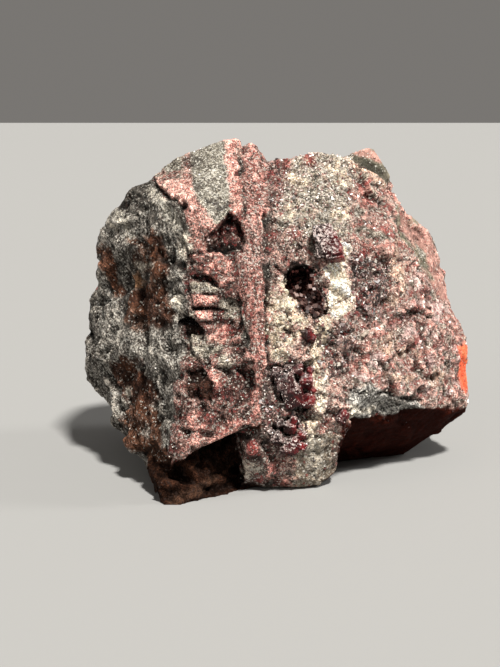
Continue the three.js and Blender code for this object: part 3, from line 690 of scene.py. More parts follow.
lay(OLD_PINK, smooth_step(stain_slow, 0.1, 0.6))
lay(MAROON, smooth_step(soft_noise(spot, 12, 37) + 0.4 * soft_noise(spot, 3, 38), 0.25, 0.55))
lay(SALMON, 0.8 * seam)
print("share of points in pink seams:", round(float(seam.mean()), 3))

# %% [markdown]
# On the left flank the dolomite was dissolved and grew again as silvery fibres, and iron left rust in
# the bowls. The silver follows the same knobs and fibres as the relief, so that each strand that stands
# out is also paler. Bowls and pale lumps have places of their own, so they are patches.

# %% The left flank: silvery fibres over dark rock, with rusty bowls
silvery = smooth_step(0.4 * knobbly + fibres + 0.45 * stain_slow, -0.2, 0.45)
lay(DARK_DOLOMITE, flank)
lay(SILVER, flank * silvery)
lay_patches(SILVER, 0.9, (-28.2, 31.4, 8, 3.6, -12), (-40.4, 32.0, 4, 6, 0), (-37.5, 19.3, 2.6, 2.4, 0),
            (-27.2, 60.6, 3.4, 3.0, -40), (-38.6, 57.0, 3.0, 3.4, 0), (-42.2, 55.0, 1.6, 3.0, 0))
lay_streak(PALE_SILVER, 0.8, 1.4, (-30.8, 66.9), (-27.0, 63.6), (-24.2, 60.0))
lay_streak(PALE_SILVER, 0.7, 1.2, (-38.4, 60.4), (-36.6, 56.4))
lay_patches(RUST, 0.9, (-28.6, 53.0, 2.4, 5.4, 12), (-29.4, 41.0, 5.6, 4.4, 0),
            (-34.6, 22.0, 6.4, 4.6, -20))
lay_patches(BROWN, 0.9, (-31.6, 13.2, 6.4, 6.0, -40), (-27.4, 8.8, 4.0, 3.4, 0),
            (-35.4, 26.0, 3.0, 2.4, 0))
lay_patches(BROWN, 0.7, (-31.0, 50.0, 3.6, 7.0, 10), (-33.6, 37.4, 3.4, 2.6, 0))
lay_patches(ORANGE_BROWN, 0.8, (-41.8, 47.4, 1.6, 5.0, 8), (-39.2, 42.2, 1.8, 1.6, 0),
            (-36.0, 55.2, 1.4, 1.0, 0))
lay_patches(OCHRE, 0.9, (-33.9, 45.4, 1.5, 1.8, 0))
lay_patches(SILVER, 0.7, (-30.7, 12.8, 1.8, 1.2, 0), (-24.0, 25.0, 1.4, 7.0, 4))
lay_patches(PALE_LUMP, 0.85, (-33.0, 48.6, 1.2, 1.0, 0), (-30.6, 49.8, 1.5, 0.9, 20),
            (-21.8, 55.0, 2.0, 2.6, 0), (-23.8, 43.0, 1.4, 2.2, 0), (-36.6, 20.0, 0.9, 0.8, 0),
            (-40.6, 57.8, 0.8, 0.7, 0))
lay_patches(DARK_DOLOMITE, 0.9, (-23.2, 51.4, 3.4, 0.9, -8), (-22.6, 45.4, 2.2, 1.2, 0),
            (-31.2, 46.8, 2.4, 1.2, 0), (-34.0, 65.0, 2.8, 2.4, 20), (-29.4, 61.0, 2.0, 1.6, -30))
# painted shade: black in the flank's deepest pits
lay_patches(SHADE_BLACK, 0.8, (-38.0, 63.4, 1.1, 1.0, 0), (-25.6, 51.6, 1.4, 0.7, -10),
            (-22.8, 51.0, 1.0, 0.7, 0), (-35.6, 53.8, 0.6, 0.6, 0))
print("share of the flank that is silvery:", round(float((silvery * flank).sum() / flank.sum()), 2))

# %% [markdown]
# Left of the vein, cinnabar soaked into thin layers of rock, so single layers are pink, grey or maroon.
# The block below is the same ore, with an arched scoop where a piece broke out.

# %% The red ledges and the block left of the vein
lay(OLD_PINK, zone(LEDGES))
lay(MAROON, zone(LEDGES) * smooth_step(soft_noise(spot * [0.6, 1, 1.8], 3.2, 42), 0.2, 0.45))
lay(SALMON, 0.8 * zone(TOP_LEDGE, 0.5, 0.7) * (1 - smooth_step(stain_mid, 0.0, 0.5)))
lay(MAROON, 0.95 * zone(WEDGE, 0.3, 0.4))
lay(SLAB_GREY, 0.95 * zone(GREY_SLAB, 0.3, 0.3))
lay(SALMON, 0.95 * np.maximum(zone(PINK_SLAB, 0.3, 0.3), zone(LOW_SLAB, 0.3, 0.4)))
lay_patches(SLAB_GREY, 0.85, (-12.0, 42.0, 2.2, 2.6, 0), (-20.6, 40.2, 1.0, 2.0, 0))
lay_patches(SALMON, 0.7, (-14.6, 37.8, 3.0, 0.9, -6), (-11.2, 49.6, 1.2, 2.0, 20))
lay(OLD_PINK, zone(BLOCK))
lay(MAROON, zone(BLOCK) * smooth_step(stain_mid, 0.25, 0.7) * 0.7)
lay_patches(SLAB_GREY, 0.95, (-16.8, 33.2, 4.0, 1.6, 8), (-18.6, 35.4, 2.6, 1.2, 0),
            (-12.6, 30.6, 2.0, 1.8, 20))
lay_patches(SALMON, 0.65, (-12.8, 35.6, 3.4, 0.9, 0), (-14.6, 28.0, 1.4, 3.0, 12),
            (-12.4, 15.8, 4.4, 1.4, 28), (-18.4, 16.4, 1.6, 4.0, 4))
lay_patches(PURPLE, 0.7, (-20.0, 22.6, 2.4, 2.4, 0), (-10.6, 33.0, 2.0, 2.0, 0))
lay_patches(MAROON, 0.8, (-13.6, 24.4, 3.4, 1.4, -12), (-16.4, 18.4, 1.8, 1.2, 0),
            (-9.4, 26.6, 1.0, 2.2, 0))
# painted shade: the arched scoop is laid in the recess's dark brown
lay(RECESS_SHADE_BROWN, 0.85 * scoop)
# pink ore along the block's lower edge, laid paler as painted light coming up from below
lay(SALMON, 0.8 * zone(RED_RIM, 0.4, 0.3) * (1 - smooth_step(stain_mid, 0.2, 0.7)))
print("share of points on the block:", round(float(zone(BLOCK).mean()), 3))

# %% [markdown]
# The crest shows a clean grey break, framed by a band of pink ore that runs on into the vein. The vein's
# stains use noise that is drawn out upwards, because the vein itself was drawn out that way.

# %% The crest: pink band and grey facet
crest_corner = smooth_step(flat[:, 1] + 2.0 * stain_mid, 68.6, 70.4) * smooth_step(-flat[:, 0], 21, 24)
lay(BAND_PINK, pink_band)
lay(SLAB_GREY, pink_band * crest_corner)
lay(VEIN_PINK, pink_band * smooth_step(stain_mid, 0.1, 0.5) * 0.8)
lay(FACET_GREY, grey)
lay_streak(DARK_DOLOMITE, 0.9, 0.5, (-16.8, 65.0), (-14.6, 64.4))
lay_streak(DARK_DOLOMITE, 0.9, 0.5, (-15.4, 63.0), (-12.6, 63.8), (-11.2, 65.0))
lay_patches(DARK_DOLOMITE, 0.75, (-21.0, 73.6, 2.2, 1.8, 0), (-15.0, 61.8, 1.8, 1.0, 0),
            (-19.6, 68.6, 1.0, 2.4, 20))
print("share of points on the crest:", round(float((pink_band + grey).mean()), 3))

# %% The vein and the hollow beside it
thin_streaks = soft_noise(upright, 1.1, 44) + 0.4 * soft_noise(upright, 0.5, 45)
lay(VEIN_PINK, vein)
lay(SALMON, vein * smooth_step(soft_noise(upright, 1.7, 43), 0.0, 0.35) * smooth_step(flat[:, 1], 56, 62))
lay_streak(SALMON, 0.9, 1.3, (-11.8, 77), (-11.2, 71), (-10.4, 66), (-9.2, 61.6))
lay(OLD_PINK, vein * smooth_step(thin_streaks, 0.15, 0.5))
lay_patches(SLAB_GREY, 0.4, (-9.2, 77.4, 0.9, 2.0, 0), (-10.6, 65.6, 0.8, 2.0, 10))
lay_patches(SALMON, 0.9, (-10.6, 79.0, 3.4, 1.6, 0))
lay_streak(SALMON, 0.8, 0.6, (-24, 75.6), (-19.1, 77.2), (-15.0, 79.4), (-11, 81))
lay_patches(PURPLE, 0.6, (-6.2, 55.6, 4.4, 5.2, 0), (-9.6, 51.0, 2.4, 2.6, 0))
# painted shade: the hollow under the facet's tip is laid maroon, in the dark red of the ore
lay(MAROON, zone(HOLLOW, 0.3, 0.3))
lay_streak(SALMON, 0.8, 0.6, (-10.6, 63.2), (-8.6, 58.4))
lay_streak(OLD_PINK, 0.9, 0.8, (-16.4, 56.3), (-12, 55.9), (-8.6, 56.6))
# painted shade: black in the crack beside the hollow
lay_streak(SHADE_BLACK, 0.8, 0.45, (-11.6, 62.4), (-11.8, 58.4))
print("share of points on the vein:", round(float(vein.mean()), 3))

# %% [markdown]
# Right of the vein the rock is a sugary mass of small crystals. Pale and red minerals are mixed in it at
# random, so noise does most of the work and patches only add what is large enough to be noticed.

# %% The sugary top of the crystalline face, and the dark pit
lay(SPECKLED_RED, crystalline)
lay(SUGARY, zone(PALE_TOP, 0.8, 1.4))
lay(CREAM, zone(PALE_TOP) * smooth_step(stain_mid + 0.3 * stain_slow, 0.6, 0.9) * 0.6)
lay(SPECKLED_RED, zone(PALE_TOP) * smooth_step(stain_mid - 0.3 * stain_slow, 0.3, 0.7) * 0.6)
lay_patches(CREAM, 0.95, (3.4, 70.2, 2.2, 1.3, -20), (5.4, 68.8, 1.2, 1.0, 0), (15.2, 69.2, 1.6, 1.2, 0),
            (13.6, 61.6, 2.0, 1.2, 0), (11.9, 71.6, 1.2, 0.9, 0), (1.6, 62.4, 0.8, 1.4, 0))
lay(PURPLE, zone(DARK_PIT, 0.6, 1.1))
lay(MAROON, zone(DARK_PIT, 0.6, 1.1) * smooth_step(stain_mid, 0.2, 0.5) * 0.8)
lay_patches(CHERRY, 0.8, (1.8, 73.2, 1.0, 1.0, 0), (-2.4, 70.6, 0.8, 1.0, 0), (7.0, 73.6, 1.6, 0.7, 0))
lay_patches(PURPLE, 0.8, (2.2, 56.2, 4.6, 3.0, -10), (0.2, 51.2, 2.8, 1.6, 0), (8.6, 50.6, 1.4, 1.4, 0))
lay_patches(CHERRY, 0.6, (3.0, 57.4, 1.2, 0.8, 0), (-1.8, 57.8, 0.9, 1.2, 0))
print("share of points on the crystalline face:", round(float(crystalline.mean()), 3))

# %% The red top at the right, and the pink lobe below it
red_top = zone(RED_TOP, 1.2, 1.6)
lay(SPECKLED_RED, red_top)
lay(SLAB_GREY, red_top * smooth_step(stain_mid - 0.2 * stain_slow, 0.1, 0.3) * 0.9)
lay(SALMON, red_top * smooth_step(-stain_mid, 0.2, 0.45) * 0.9)
lay_patches(SALMON, 0.85, (19.4, 65.4, 2.4, 1.6, -20), (24.6, 58.6, 2.0, 1.6, 20),
            (21.0, 58.8, 1.4, 1.0, 0))
lay_patches(SLAB_GREY, 0.85, (22.6, 68.0, 1.6, 1.0, -30), (27.0, 60.6, 1.0, 2.2, 10),
            (18.4, 62.0, 1.2, 1.2, 0))
lay_patches(LOBE_PINK, 0.8, (26.4, 62.4, 1.8, 3.4, 20), (22.6, 60.2, 3.0, 2.4, 0))
lay_patches(CHERRY, 0.75, (19.4, 67.8, 1.6, 0.6, 20), (23.6, 65.6, 1.7, 0.6, 10),
            (19.0, 59.6, 2.2, 0.5, -32), (25.0, 56.4, 1.8, 0.8, -20), (20.6, 63.4, 1.2, 0.5, 20),
            (22.2, 69.0, 1.0, 0.5, 0))
lay(LOBE_PINK, zone(PINK_LOBE, 1.0, 1.6))
LOBE_STAINS = (  # finish, size and salt of a coarse and of a fine noise, where it sets in, and strength
    (SALMON, (3.0, 62), (1.2, 63), (0.05, 0.3), 0.75),
    (SLAB_GREY, (2.0, 54), (0.9, 55), (0.15, 0.4), 0.8),
    (LILAC, (2.8, 51), (1.2, 52), (0.3, 0.6), 0.75),
)
for what, coarse, fine, sets_in, strength in LOBE_STAINS:
    stain = soft_noise(spot, *coarse) + 0.4 * soft_noise(spot, *fine)
    lay(what, zone(PINK_LOBE) * smooth_step(stain, *sets_in) * strength)
lay(CHERRY, zone(PINK_LOBE) * smooth_step(soft_noise(spot * [0.7, 1, 1.3], 2.4, 53), 0.42, 0.6) * 0.6)
lay_patches(LILAC, 0.85, (38.4, 38.4, 2.0, 2.2, 20), (30.4, 34.4, 1.6, 0.9, -20),
            (33.0, 44.6, 1.4, 1.0, 0))
lay_patches(PEACH, 0.7, (24.2, 32.4, 3.6, 2.2, 12), (30.0, 29.6, 2.6, 1.6, 0), (38.0, 22.4, 3.2, 1.6, 0),
            (28.0, 24.2, 3.0, 1.0, -10))
lay_patches(MAROON, 0.75, (35.6, 42.6, 2.6, 1.0, -14), (31.8, 36.4, 2.8, 0.5, -24),
            (37.6, 31.2, 2.2, 0.6, 40), (34.4, 27.2, 0.8, 1.3, 0), (27.2, 37.4, 1.6, 0.5, -30),
            (33.2, 33.0, 0.6, 1.4, 20))
print("share of points on the pink lobe:", round(float(zone(PINK_LOBE).mean()), 3))

# %% [markdown]
# Large crystals sit in dark seats, and cream dolomite lines the channels beside them. The finishes laid
# here are only the ground: the grains that are scattered later on make it sparkle.

# %% Dark crystal patches, cream dolomite and the column
lay(CRYSTAL_DARK, zone(DARK_MIDDLE, 0.9, 1.8) * 0.85)
lay(CRYSTAL_DARK, zone(CRYSTAL_PATCH, 0.7, 1.6))
lay_patches(PURPLE, 0.7, (21.7, 42.2, 2.2, 2.6, 0), (23.8, 50.2, 1.8, 2.0, 0), (17.8, 47.2, 1.2, 2.4, 0))
lay_patches(CHERRY, 0.7, (19.6, 53.0, 2.2, 0.7, 14), (17.2, 42.8, 0.9, 1.4, 0))
lay_patches(PEACH, 0.8, (27.6, 48.0, 1.3, 4.4, 4), (26.2, 42.2, 1.0, 1.8, 20))
lay(CRYSTAL_DARK, zone(CRYSTAL_WALL, 0.8, 1.4))
lay(WHITE_CREAM, zone(CREAM_CHANNEL, 0.6, 1.1))
lay(CREAM, zone(CREAM_WALL, 0.6, 1.2) * (1 - smooth_step(stain_mid, 0.2, 0.6)))
lay_patches(PEACH, 0.8, (3.6, 42.2, 1.8, 3.0, -14))
lay(CREAM, along(CREAM_TRAIL, 1.3, 0.7, 1.5) * 0.85)
lay_streak(PALE_LUMP, 0.6, 0.9, (9.2, 28), (9.0, 22), (7.6, 18))
lay(COLUMN_GREY, zone(COLUMN, 0.6, 1.2))
lay_patches(PURPLE, 0.7, (10.6, 18.4, 1.4, 2.6, 0), (13.0, 8.4, 1.2, 4.0, 10))
lay_patches(PALE_LUMP, 0.6, (7.4, 9.0, 1.8, 4.0, 10))
lay_patches(CHERRY, 0.5, (2.6, 3.4, 1.2, 0.8, 0), (-1.4, 6.0, 1.6, 1.0, 0), (0.6, 1.4, 1.6, 0.7, 0))
print("share of points in cream:", round(float((zone(CREAM_CHANNEL) + zone(CREAM_WALL)).mean()), 3))

# %% The knob, the flap, the bluish shelf and the orange edge
lay(KNOB_PALE, zone(KNOB, 0.4, 0.5))
lay_streak(FLAP_PINK, 0.9, 1.2, (18.4, 76.4), (21.5, 75.5), (24.4, 73.8))
# grey-green rock, laid darker as painted shade in the knob's hollow middle
lay_patches(KNOB_GREEN, 0.95, (22.2, 71.9, 3.2, 1.5, -30), (17.6, 74.2, 1.2, 0.9, -30))
lay_streak(PEACH, 0.8, 0.7, (15.8, 74.4), (19.6, 71.4), (23.4, 68.4), (26.6, 67.2))
lay(FLAP_PINK, zone(FLAP, 0.6, 0.8))
lay_patches(FLAP_GREY, 0.95, (34.5, 49.8, 1.5, 4.4, 30), (32.4, 59.0, 1.2, 1.6, 0),
            (39.2, 52.6, 1.2, 0.9, 0))
lay_streak(FLAP_GREY, 0.9, 0.6, (28.3, 62.3), (29.2, 57.0), (31.2, 54.0))
# painted highlight: a pale line along the middle of the grey streak
lay_streak(PALE_SILVER, 0.8, 0.35, (33.4, 53.8), (34.2, 51.8), (35.6, 50.2))
lay_streak(SALMON, 0.8, 0.8, (27.2, 67), (29.2, 62.6), (31.4, 59.6))
lay(BLUISH, zone(BLUISH_SHELF, 0.5, 0.9))
lay_patches(PALE_LUMP, 0.8, (15.8, 18.4, 1.6, 1.6, 0), (19.6, 17.2, 1.6, 0.8, 0))
lay_patches(DARK_DOLOMITE, 0.9, (28.6, 18.8, 4.4, 0.9, -10), (19.4, 22.4, 1.8, 0.8, 0))
lay_patches(SALMON, 0.7, (43.4, 31.4, 1.5, 3.6, 8))
orange_depth = smooth_step(0.5 + 0.7 * stain_mid - 0.12 * (spot[:, 1] - 2), 0, 0.3)
lay(VERMILION, zone(ORANGE_EDGE, 0.7, 0.8) * orange_depth)
print("share of points on the orange edge:", round(float(zone(ORANGE_EDGE).mean()), 4))

# %% [markdown]
# Cracks are nearly black, since hardly any light comes out of them. The underside and the recess at the
# foot are laid dark brown as painted shade, and these go on last, because they cover whatever runs into
# them.

# %% Black cracks, and what lies in the shade below
lay_patches(SHADE_BLACK, 0.95, (-20.6, 37.9, 2.7, 1.0, -35), (-22.4, 64.0, 0.9, 1.0, 0))
lay_streak(SHADE_BLACK, 0.9, 0.5, (-16.4, 54.7), (-13, 54.4), (-9.4, 54.8))
lay_streak(SHADE_BLACK, 0.8, 0.4, (-20.2, 48.8), (-17, 48.6), (-15.2, 47.6))
lay_streak(SHADE_BLACK, 0.85, 0.35, (-20.2, 42.0), (-16, 41.8), (-12, 41.4))
lay_streak(SHADE_BLACK, 0.7, 0.3, (-19.8, 39.0), (-15.8, 39.0), (-12.6, 38.6))
lay_streak(SHADE_BLACK, 0.8, 0.35, (-3.0, 47), (-3.5, 41), (-3.2, 35), (-2.9, 31))
# painted shade under the lobe and in the recess
lay(UNDERSIDE_SHADE, zone(UNDER_LOBE, 0.4, 0.2))
lay(RECESS_SHADE_BROWN, zone(RECESS, 0.4, 0.2))
# painted light: a lighter strip along the foot's bottom edge, where light comes up from below
lay_streak(FOOT_BOUNCE_LIGHT, 0.8, 1.2, (-24.0, 1.0), (-15.0, 3.4), (-9.6, 4.4))
lay(CRYSTAL_DARK, zone(FOOT_RUBBLE, 0.5, 0.9))
lay_patches(LUMP_WHITE, 0.9, (-7.4, 7.0, 1.6, 0.9, 0), (-7.9, 3.6, 1.3, 1.2, 0), (-5.0, 5.6, 1.2, 0.8, 0))
lay_patches(CHERRY, 0.7, (-5.2, 2.6, 1.4, 0.7, 0), (-6.6, 11.4, 1.2, 1.4, 0))
# painted shade: black in the gaps of the foot rubble
lay_patches(SHADE_BLACK, 0.8, (-6.0, 9.2, 1.6, 0.8, 0), (-8.0, 13.4, 1.0, 1.4, 0))
lay_patches(CRYSTAL_DARK, 0.9, (6.9, 44.6, 3.4, 4.8, -30))
# painted shade: black over the cavity's deep hole
lay_patches(SHADE_BLACK, 0.95, (3.8, 48.8, 3.4, 3.0, -30))
print("mean colour of the rock:", np.round(cover[:, :3].mean(0), 3))

# %% [markdown]
# Shade and light are painted into the colour: hollows are made darker as painted shade, and what stands out
# is made paler as painted light. That is measured at three sizes, from grains to whole bowls.

# %% Hollows are darker as painted shade, and what stands out is paler as painted light
PAINTED_SHADING_STRENGTH = 0.55  # strength of the darkening as a whole
COUNTS_UP_TO = (-1.2, 1.8)  # how high an edge and how deep a hollow still count, against the usual depth
SPREADS = ((4, 0.55), (16, 0.45), (48, 0.25))  # rounds of spreading, and how strongly that hollow darkens
painted_shade_and_light = np.zeros(len(spot))
for rounds, strength in SPREADS:
    hollow = hollowness(points, rounds)
    hollow /= hollow.std()
    painted_shade_and_light += strength * np.clip(hollow, *COUNTS_UP_TO)
    print(rounds, "rounds: hollows up to", round(float(hollow.max()), 1), "times the usual")
# painted shade and painted light: the colour is darkened in hollows and lightened where the rock stands out
cover[:, :3] *= np.exp(-PAINTED_SHADING_STRENGTH * painted_shade_and_light)[:, None]
cover = np.clip(cover, 0, 1)

# %% Keep the finishes on the net


def write_floats(mesh, name, values):
    """Keeps one number for each point of a mesh, as a named attribute."""
    layer = mesh.attributes.new(name, "FLOAT", "POINT")
    layer.data.foreach_set("value", values.astype(np.float32))


def write_colours(mesh, name, values):
    """Keeps one colour for each point of a mesh, as a named attribute."""
    layer = mesh.attributes.new(name, "FLOAT_COLOR", "POINT")
    rows = np.concatenate([values, np.ones((len(values), 1))], axis=1)
    layer.data.foreach_set("color", rows.astype(np.float32).ravel())


write_colours(rock_mesh, "ground_colour", cover[:, :3])
for column, name in enumerate(("contrast", "pale_share", "dark_share", "red_share", "gloss"), start=3):
    write_floats(rock_mesh, name, cover[:, column])
write_floats(rock_mesh, "fibre", np.clip(flank + 0.5 * vein + zone(BLUISH_SHELF), 0, 1))
write_floats(rock_mesh, "tilt", 1 - 0.65 * grey - 0.25 * vein)
calmer = 0.4 * zone(RED_TOP) + 0.3 * zone(PINK_LOBE) + 0.4 * zone(COLUMN) + 0.5 * smooth_edge
calmer = np.clip(calmer, 0, 0.6)
write_floats(rock_mesh, "dustiness", 1 - np.maximum(0.4 * flank, calmer))
print("attributes:", [a.name for a in rock_mesh.attributes if not a.name.startswith(".")])

# %% [markdown]
# Two effects are each used several times, so each is a shader group. The first turns a share into
# grains: it picks that share of the cells of a mosaic. The second makes every cell a small tilted plane,
# which a Bump node turns into a glint, because now and then a face happens to mirror the light.

# %% Helpers for node trees


def add_node(tree, kind, inputs=None, **settings):
    """A node with its settings, its values, and links from the sockets given as inputs."""
    made = tree.nodes.new(kind)
    for key, value in settings.items():
        setattr(made, key, value)
    for key, value in (inputs or {}).items():
        if isinstance(value, bpy.types.NodeSocket):
            tree.links.new(value, made.inputs[key])
        else:
            made.inputs[key].default_value = value
    return made


def calculate(tree, operation, *values, clamp=False):
    """The result of one Math node."""
    made = add_node(tree, "ShaderNodeMath", dict(enumerate(values)), operation=operation, use_clamp=clamp)
    return made.outputs[0]


MIX_FACTOR, MIX_A, MIX_B, MIX_COLOUR = 0, 6, 7, 2  # places of the colour sockets of a Mix node


def mix_colour(tree, factor, first, second):
    """The first colour, covered by the second as far as the factor says."""
    inputs = {MIX_FACTOR: factor, MIX_A: first, MIX_B: second}
    return add_node(tree, "ShaderNodeMix", inputs, data_type="RGBA").outputs[MIX_COLOUR]


def named_group(name, kind, sockets):
    """An empty node group with named sockets, and its input and output nodes."""
    tree = bpy.data.node_groups.new(name, kind)
    for socket_name, way, socket_type in sockets:
        tree.interface.new_socket(socket_name, in_out=way, socket_type=socket_type)
    return tree, tree.nodes.new("NodeGroupInput"), tree.nodes.new("NodeGroupOutput")


print("helpers ready")

# %% The two shader groups


def ragged_place(tree, group_in):
    """The place given to a group, shaken a little, so that its grains get ragged borders."""
    given, size = group_in.outputs["Place"], group_in.outputs["Grain size"]
    fineness = calculate(tree, "DIVIDE", 1.6, size)
    shaking = add_node(tree, "ShaderNodeTexNoise", {"Vector": given, "Scale": fineness, "Detail": 1.0})
    shift = add_node(tree, "ShaderNodeVectorMath", {0: shaking.outputs["Color"], 1: (0.5, 0.5, 0.5)},
                     operation="SUBTRACT")
    shift = add_node(tree, "ShaderNodeVectorMath", {0: shift.outputs["Vector"], "Scale": size},
                     operation="SCALE")
    moved = add_node(tree, "ShaderNodeVectorMath", {0: given, 1: shift.outputs["Vector"]}, operation="ADD")
    return moved.outputs["Vector"]


picked_grains, group_in, group_out = named_group("picked_grains", "ShaderNodeTree", [
    ("Place", "INPUT", "NodeSocketVector"),
    ("Grain size", "INPUT", "NodeSocketFloat"),
    ("Share", "INPUT", "NodeSocketFloat"),
    ("Mask", "OUTPUT", "NodeSocketFloat"),
])
scale = calculate(picked_grains, "DIVIDE", 1.0, group_in.outputs["Grain size"])
shaken = ragged_place(picked_grains, group_in)
cells = add_node(picked_grains, "ShaderNodeTexVoronoi", {"Vector": shaken, "Scale": scale})
number = add_node(picked_grains, "ShaderNodeSeparateColor", {0: cells.outputs["Color"]}).outputs[0]
picked = calculate(picked_grains, "LESS_THAN", number, group_in.outputs["Share"])
picked_grains.links.new(picked, group_out.inputs["Mask"])

tilted_planes, group_in, group_out = named_group("tilted_planes", "ShaderNodeTree", [
    ("Place", "INPUT", "NodeSocketVector"),
    ("Grain size", "INPUT", "NodeSocketFloat"),
    ("Tilt", "INPUT", "NodeSocketFloat"),
    ("Height", "OUTPUT", "NodeSocketFloat"),
    ("Tone", "OUTPUT", "NodeSocketFloat"),
])
scale = calculate(tilted_planes, "DIVIDE", 1.0, group_in.outputs["Grain size"])
shaken = ragged_place(tilted_planes, group_in)
cells = add_node(tilted_planes, "ShaderNodeTexVoronoi", {"Vector": shaken, "Scale": scale})
offset = add_node(tilted_planes, "ShaderNodeVectorMath",
                  {0: shaken, 1: cells.outputs["Position"]}, operation="SUBTRACT")
slope = add_node(tilted_planes, "ShaderNodeVectorMath",
                 {0: cells.outputs["Color"], 1: (0.5, 0.5, 0.5)}, operation="SUBTRACT")
rise = add_node(tilted_planes, "ShaderNodeVectorMath",
                {0: offset.outputs["Vector"], 1: slope.outputs["Vector"]}, operation="DOT_PRODUCT")
raised = calculate(tilted_planes, "MULTIPLY", rise.outputs["Value"], group_in.outputs["Tilt"])
tone = add_node(tilted_planes, "ShaderNodeSeparateColor", {0: cells.outputs["Color"]}).outputs[1]
tilted_planes.links.new(raised, group_out.inputs["Height"])
tilted_planes.links.new(tone, group_out.inputs["Tone"])


def use_group(tree, group, **values):
    """A group placed in a material, with its inputs given by name."""
    inputs = {key.replace("_", " "): value for key, value in values.items()}
    return add_node(tree, "ShaderNodeGroup", inputs, node_tree=group)


print("groups:", [g.name for g in bpy.data.node_groups])

# %% [markdown]
# The rock's material reads the attributes of its finish. Each grain of the groundmass is a little
# lighter or darker than its neighbours, and on top come the pale, red and dark grains, in that order.
# One mosaic gives the groundmass both its tones and its tilts, so colour and glint change at the same
# borders, as they do in a real aggregate.

# %% Material of the host rock: its colour
PALE_GRAIN = (0.70, 0.665, 0.59, 1)
RED_GRAIN = (0.26, 0.05, 0.045, 1)
DARK_GRAIN = (0.034, 0.021, 0.017, 1)
GROUND_GRAIN = 0.62  # mm across: a grain of the groundmass
DUST_SPECK = 0.33  # mm across
STRAND = 0.55  # mm across: a fibre's strand
BLOTCH = 2.2  # mm across
FIBRE_LEAN = math.radians(-35)  # turn of the fibres about Y, from upright
BRIGHTEST = 2.6  # the most that a grain may outshine its ground
rock_finish, shader = principled("host_rock", IOR=1.5, Specular_IOR_Level=0.05, Coat_Roughness=0.2,
                                 Coat_IOR=1.7)
tree = rock_finish.node_tree
here = add_node(tree, "ShaderNodeTexCoord").outputs["Object"]


def attribute(tree, name, output="Fac"):
    """What the mesh keeps under a name, as a number or as a colour."""
    return add_node(tree, "ShaderNodeAttribute", attribute_name=name).outputs[output]


def centred(tree, value):
    """A noise that swings about nought in place of a half."""
    return calculate(tree, "SUBTRACT", value, 0.5)


planes = use_group(tree, tilted_planes, Place=here, Grain_size=GROUND_GRAIN * MM, Tilt=1.2)
dust = add_node(tree, "ShaderNodeTexNoise", {"Vector": here, "Scale": 1 / (DUST_SPECK * MM),
                                             "Detail": 2.0, "Roughness": 0.6})
brushed = add_node(tree, "ShaderNodeMapping", {"Vector": here, "Rotation": (0, FIBRE_LEAN, 0),
                                               "Scale": (1, 1, 6)}, vector_type="TEXTURE")
strands = add_node(tree, "ShaderNodeTexNoise", {"Vector": brushed.outputs["Vector"],
                                                "Scale": 1 / (STRAND * MM), "Detail": 3.0,
                                                "Distortion": 1.5})
blotches = add_node(tree, "ShaderNodeTexNoise", {"Vector": here, "Scale": 1 / (BLOTCH * MM),
                                                 "Detail": 3.0})
# the swing of a grain's lightness: its own tone, then dust, blotches and fibres, each by its strength
swing = calculate(tree, "MULTIPLY", centred(tree, planes.outputs["Tone"]), 0.9)
dusted = calculate(tree, "MULTIPLY", centred(tree, dust.outputs["Fac"]), attribute(tree, "dustiness"))
swing = calculate(tree, "MULTIPLY_ADD", dusted, 9.0, swing)
swing = calculate(tree, "MULTIPLY_ADD", centred(tree, blotches.outputs["Fac"]), 1.4, swing)
fibrous = calculate(tree, "MULTIPLY", centred(tree, strands.outputs["Fac"]), attribute(tree, "fibre"))
swing = calculate(tree, "MULTIPLY_ADD", fibrous, 9.0, swing)
brightness = calculate(tree, "EXPONENT", calculate(tree, "MULTIPLY", swing, attribute(tree, "contrast")))
brightness = calculate(tree, "MINIMUM", brightness, BRIGHTEST)


def scaled_colour(tree, colour, factor):
    """A colour made brighter or darker by a factor."""
    inputs = {0: colour, "Scale": factor}
    return add_node(tree, "ShaderNodeVectorMath", inputs, operation="SCALE").outputs["Vector"]


KINDS_OF_GRAIN = (  # the attribute that gives their share, their size in mm, colour and strength
    ("pale_share", 0.38, PALE_GRAIN, 0.6),
    ("red_share", 0.6, RED_GRAIN, 0.65),
    ("dark_share", 0.48, DARK_GRAIN, 0.75),
)
colour = scaled_colour(tree, attribute(tree, "ground_colour", "Color"), brightness)
for share, size, grain_colour, strength in KINDS_OF_GRAIN:
    picked = use_group(tree, picked_grains, Place=here, Grain_size=size * MM, Share=attribute(tree, share))
    covering = calculate(tree, "MULTIPLY", picked.outputs["Mask"], strength)
    colour = mix_colour(tree, covering, colour, grain_colour)
tree.links.new(colour, shader.inputs["Base Color"])
print("kinds of grain on the ground:", len(KINDS_OF_GRAIN))

# %% [markdown]
# A grain's own tone also says how glossy it is, and what is glossy is less rough. The relief goes to the
# Bump node as a height in metres, so its distance stays 1.

# %% Material of the host rock: its gloss and its relief
bright_grains = calculate(tree, "POWER", planes.outputs["Tone"], 1.6)
gloss = calculate(tree, "MULTIPLY", attribute(tree, "gloss"), bright_grains)
tree.links.new(gloss, shader.inputs["Coat Weight"])
roughness = calculate(tree, "MULTIPLY_ADD", gloss, -0.4, 0.85)
tree.links.new(roughness, shader.inputs["Roughness"])
rises = calculate(tree, "MULTIPLY_ADD", dust.outputs["Fac"], 0.7 * MM, planes.outputs["Height"])
rises = calculate(tree, "MULTIPLY", rises, attribute(tree, "tilt"))
rises = calculate(tree, "MULTIPLY_ADD", fibrous, 0.35 * MM, rises)
bump = add_node(tree, "ShaderNodeBump", {"Height": rises, "Distance": 1.0, "Strength": 1.0})
tree.links.new(bump.outputs["Normal"], shader.inputs["Normal"])
tree.links.new(bump.outputs["Normal"], shader.inputs["Coat Normal"])
print("rock nodes:", len(tree.nodes))

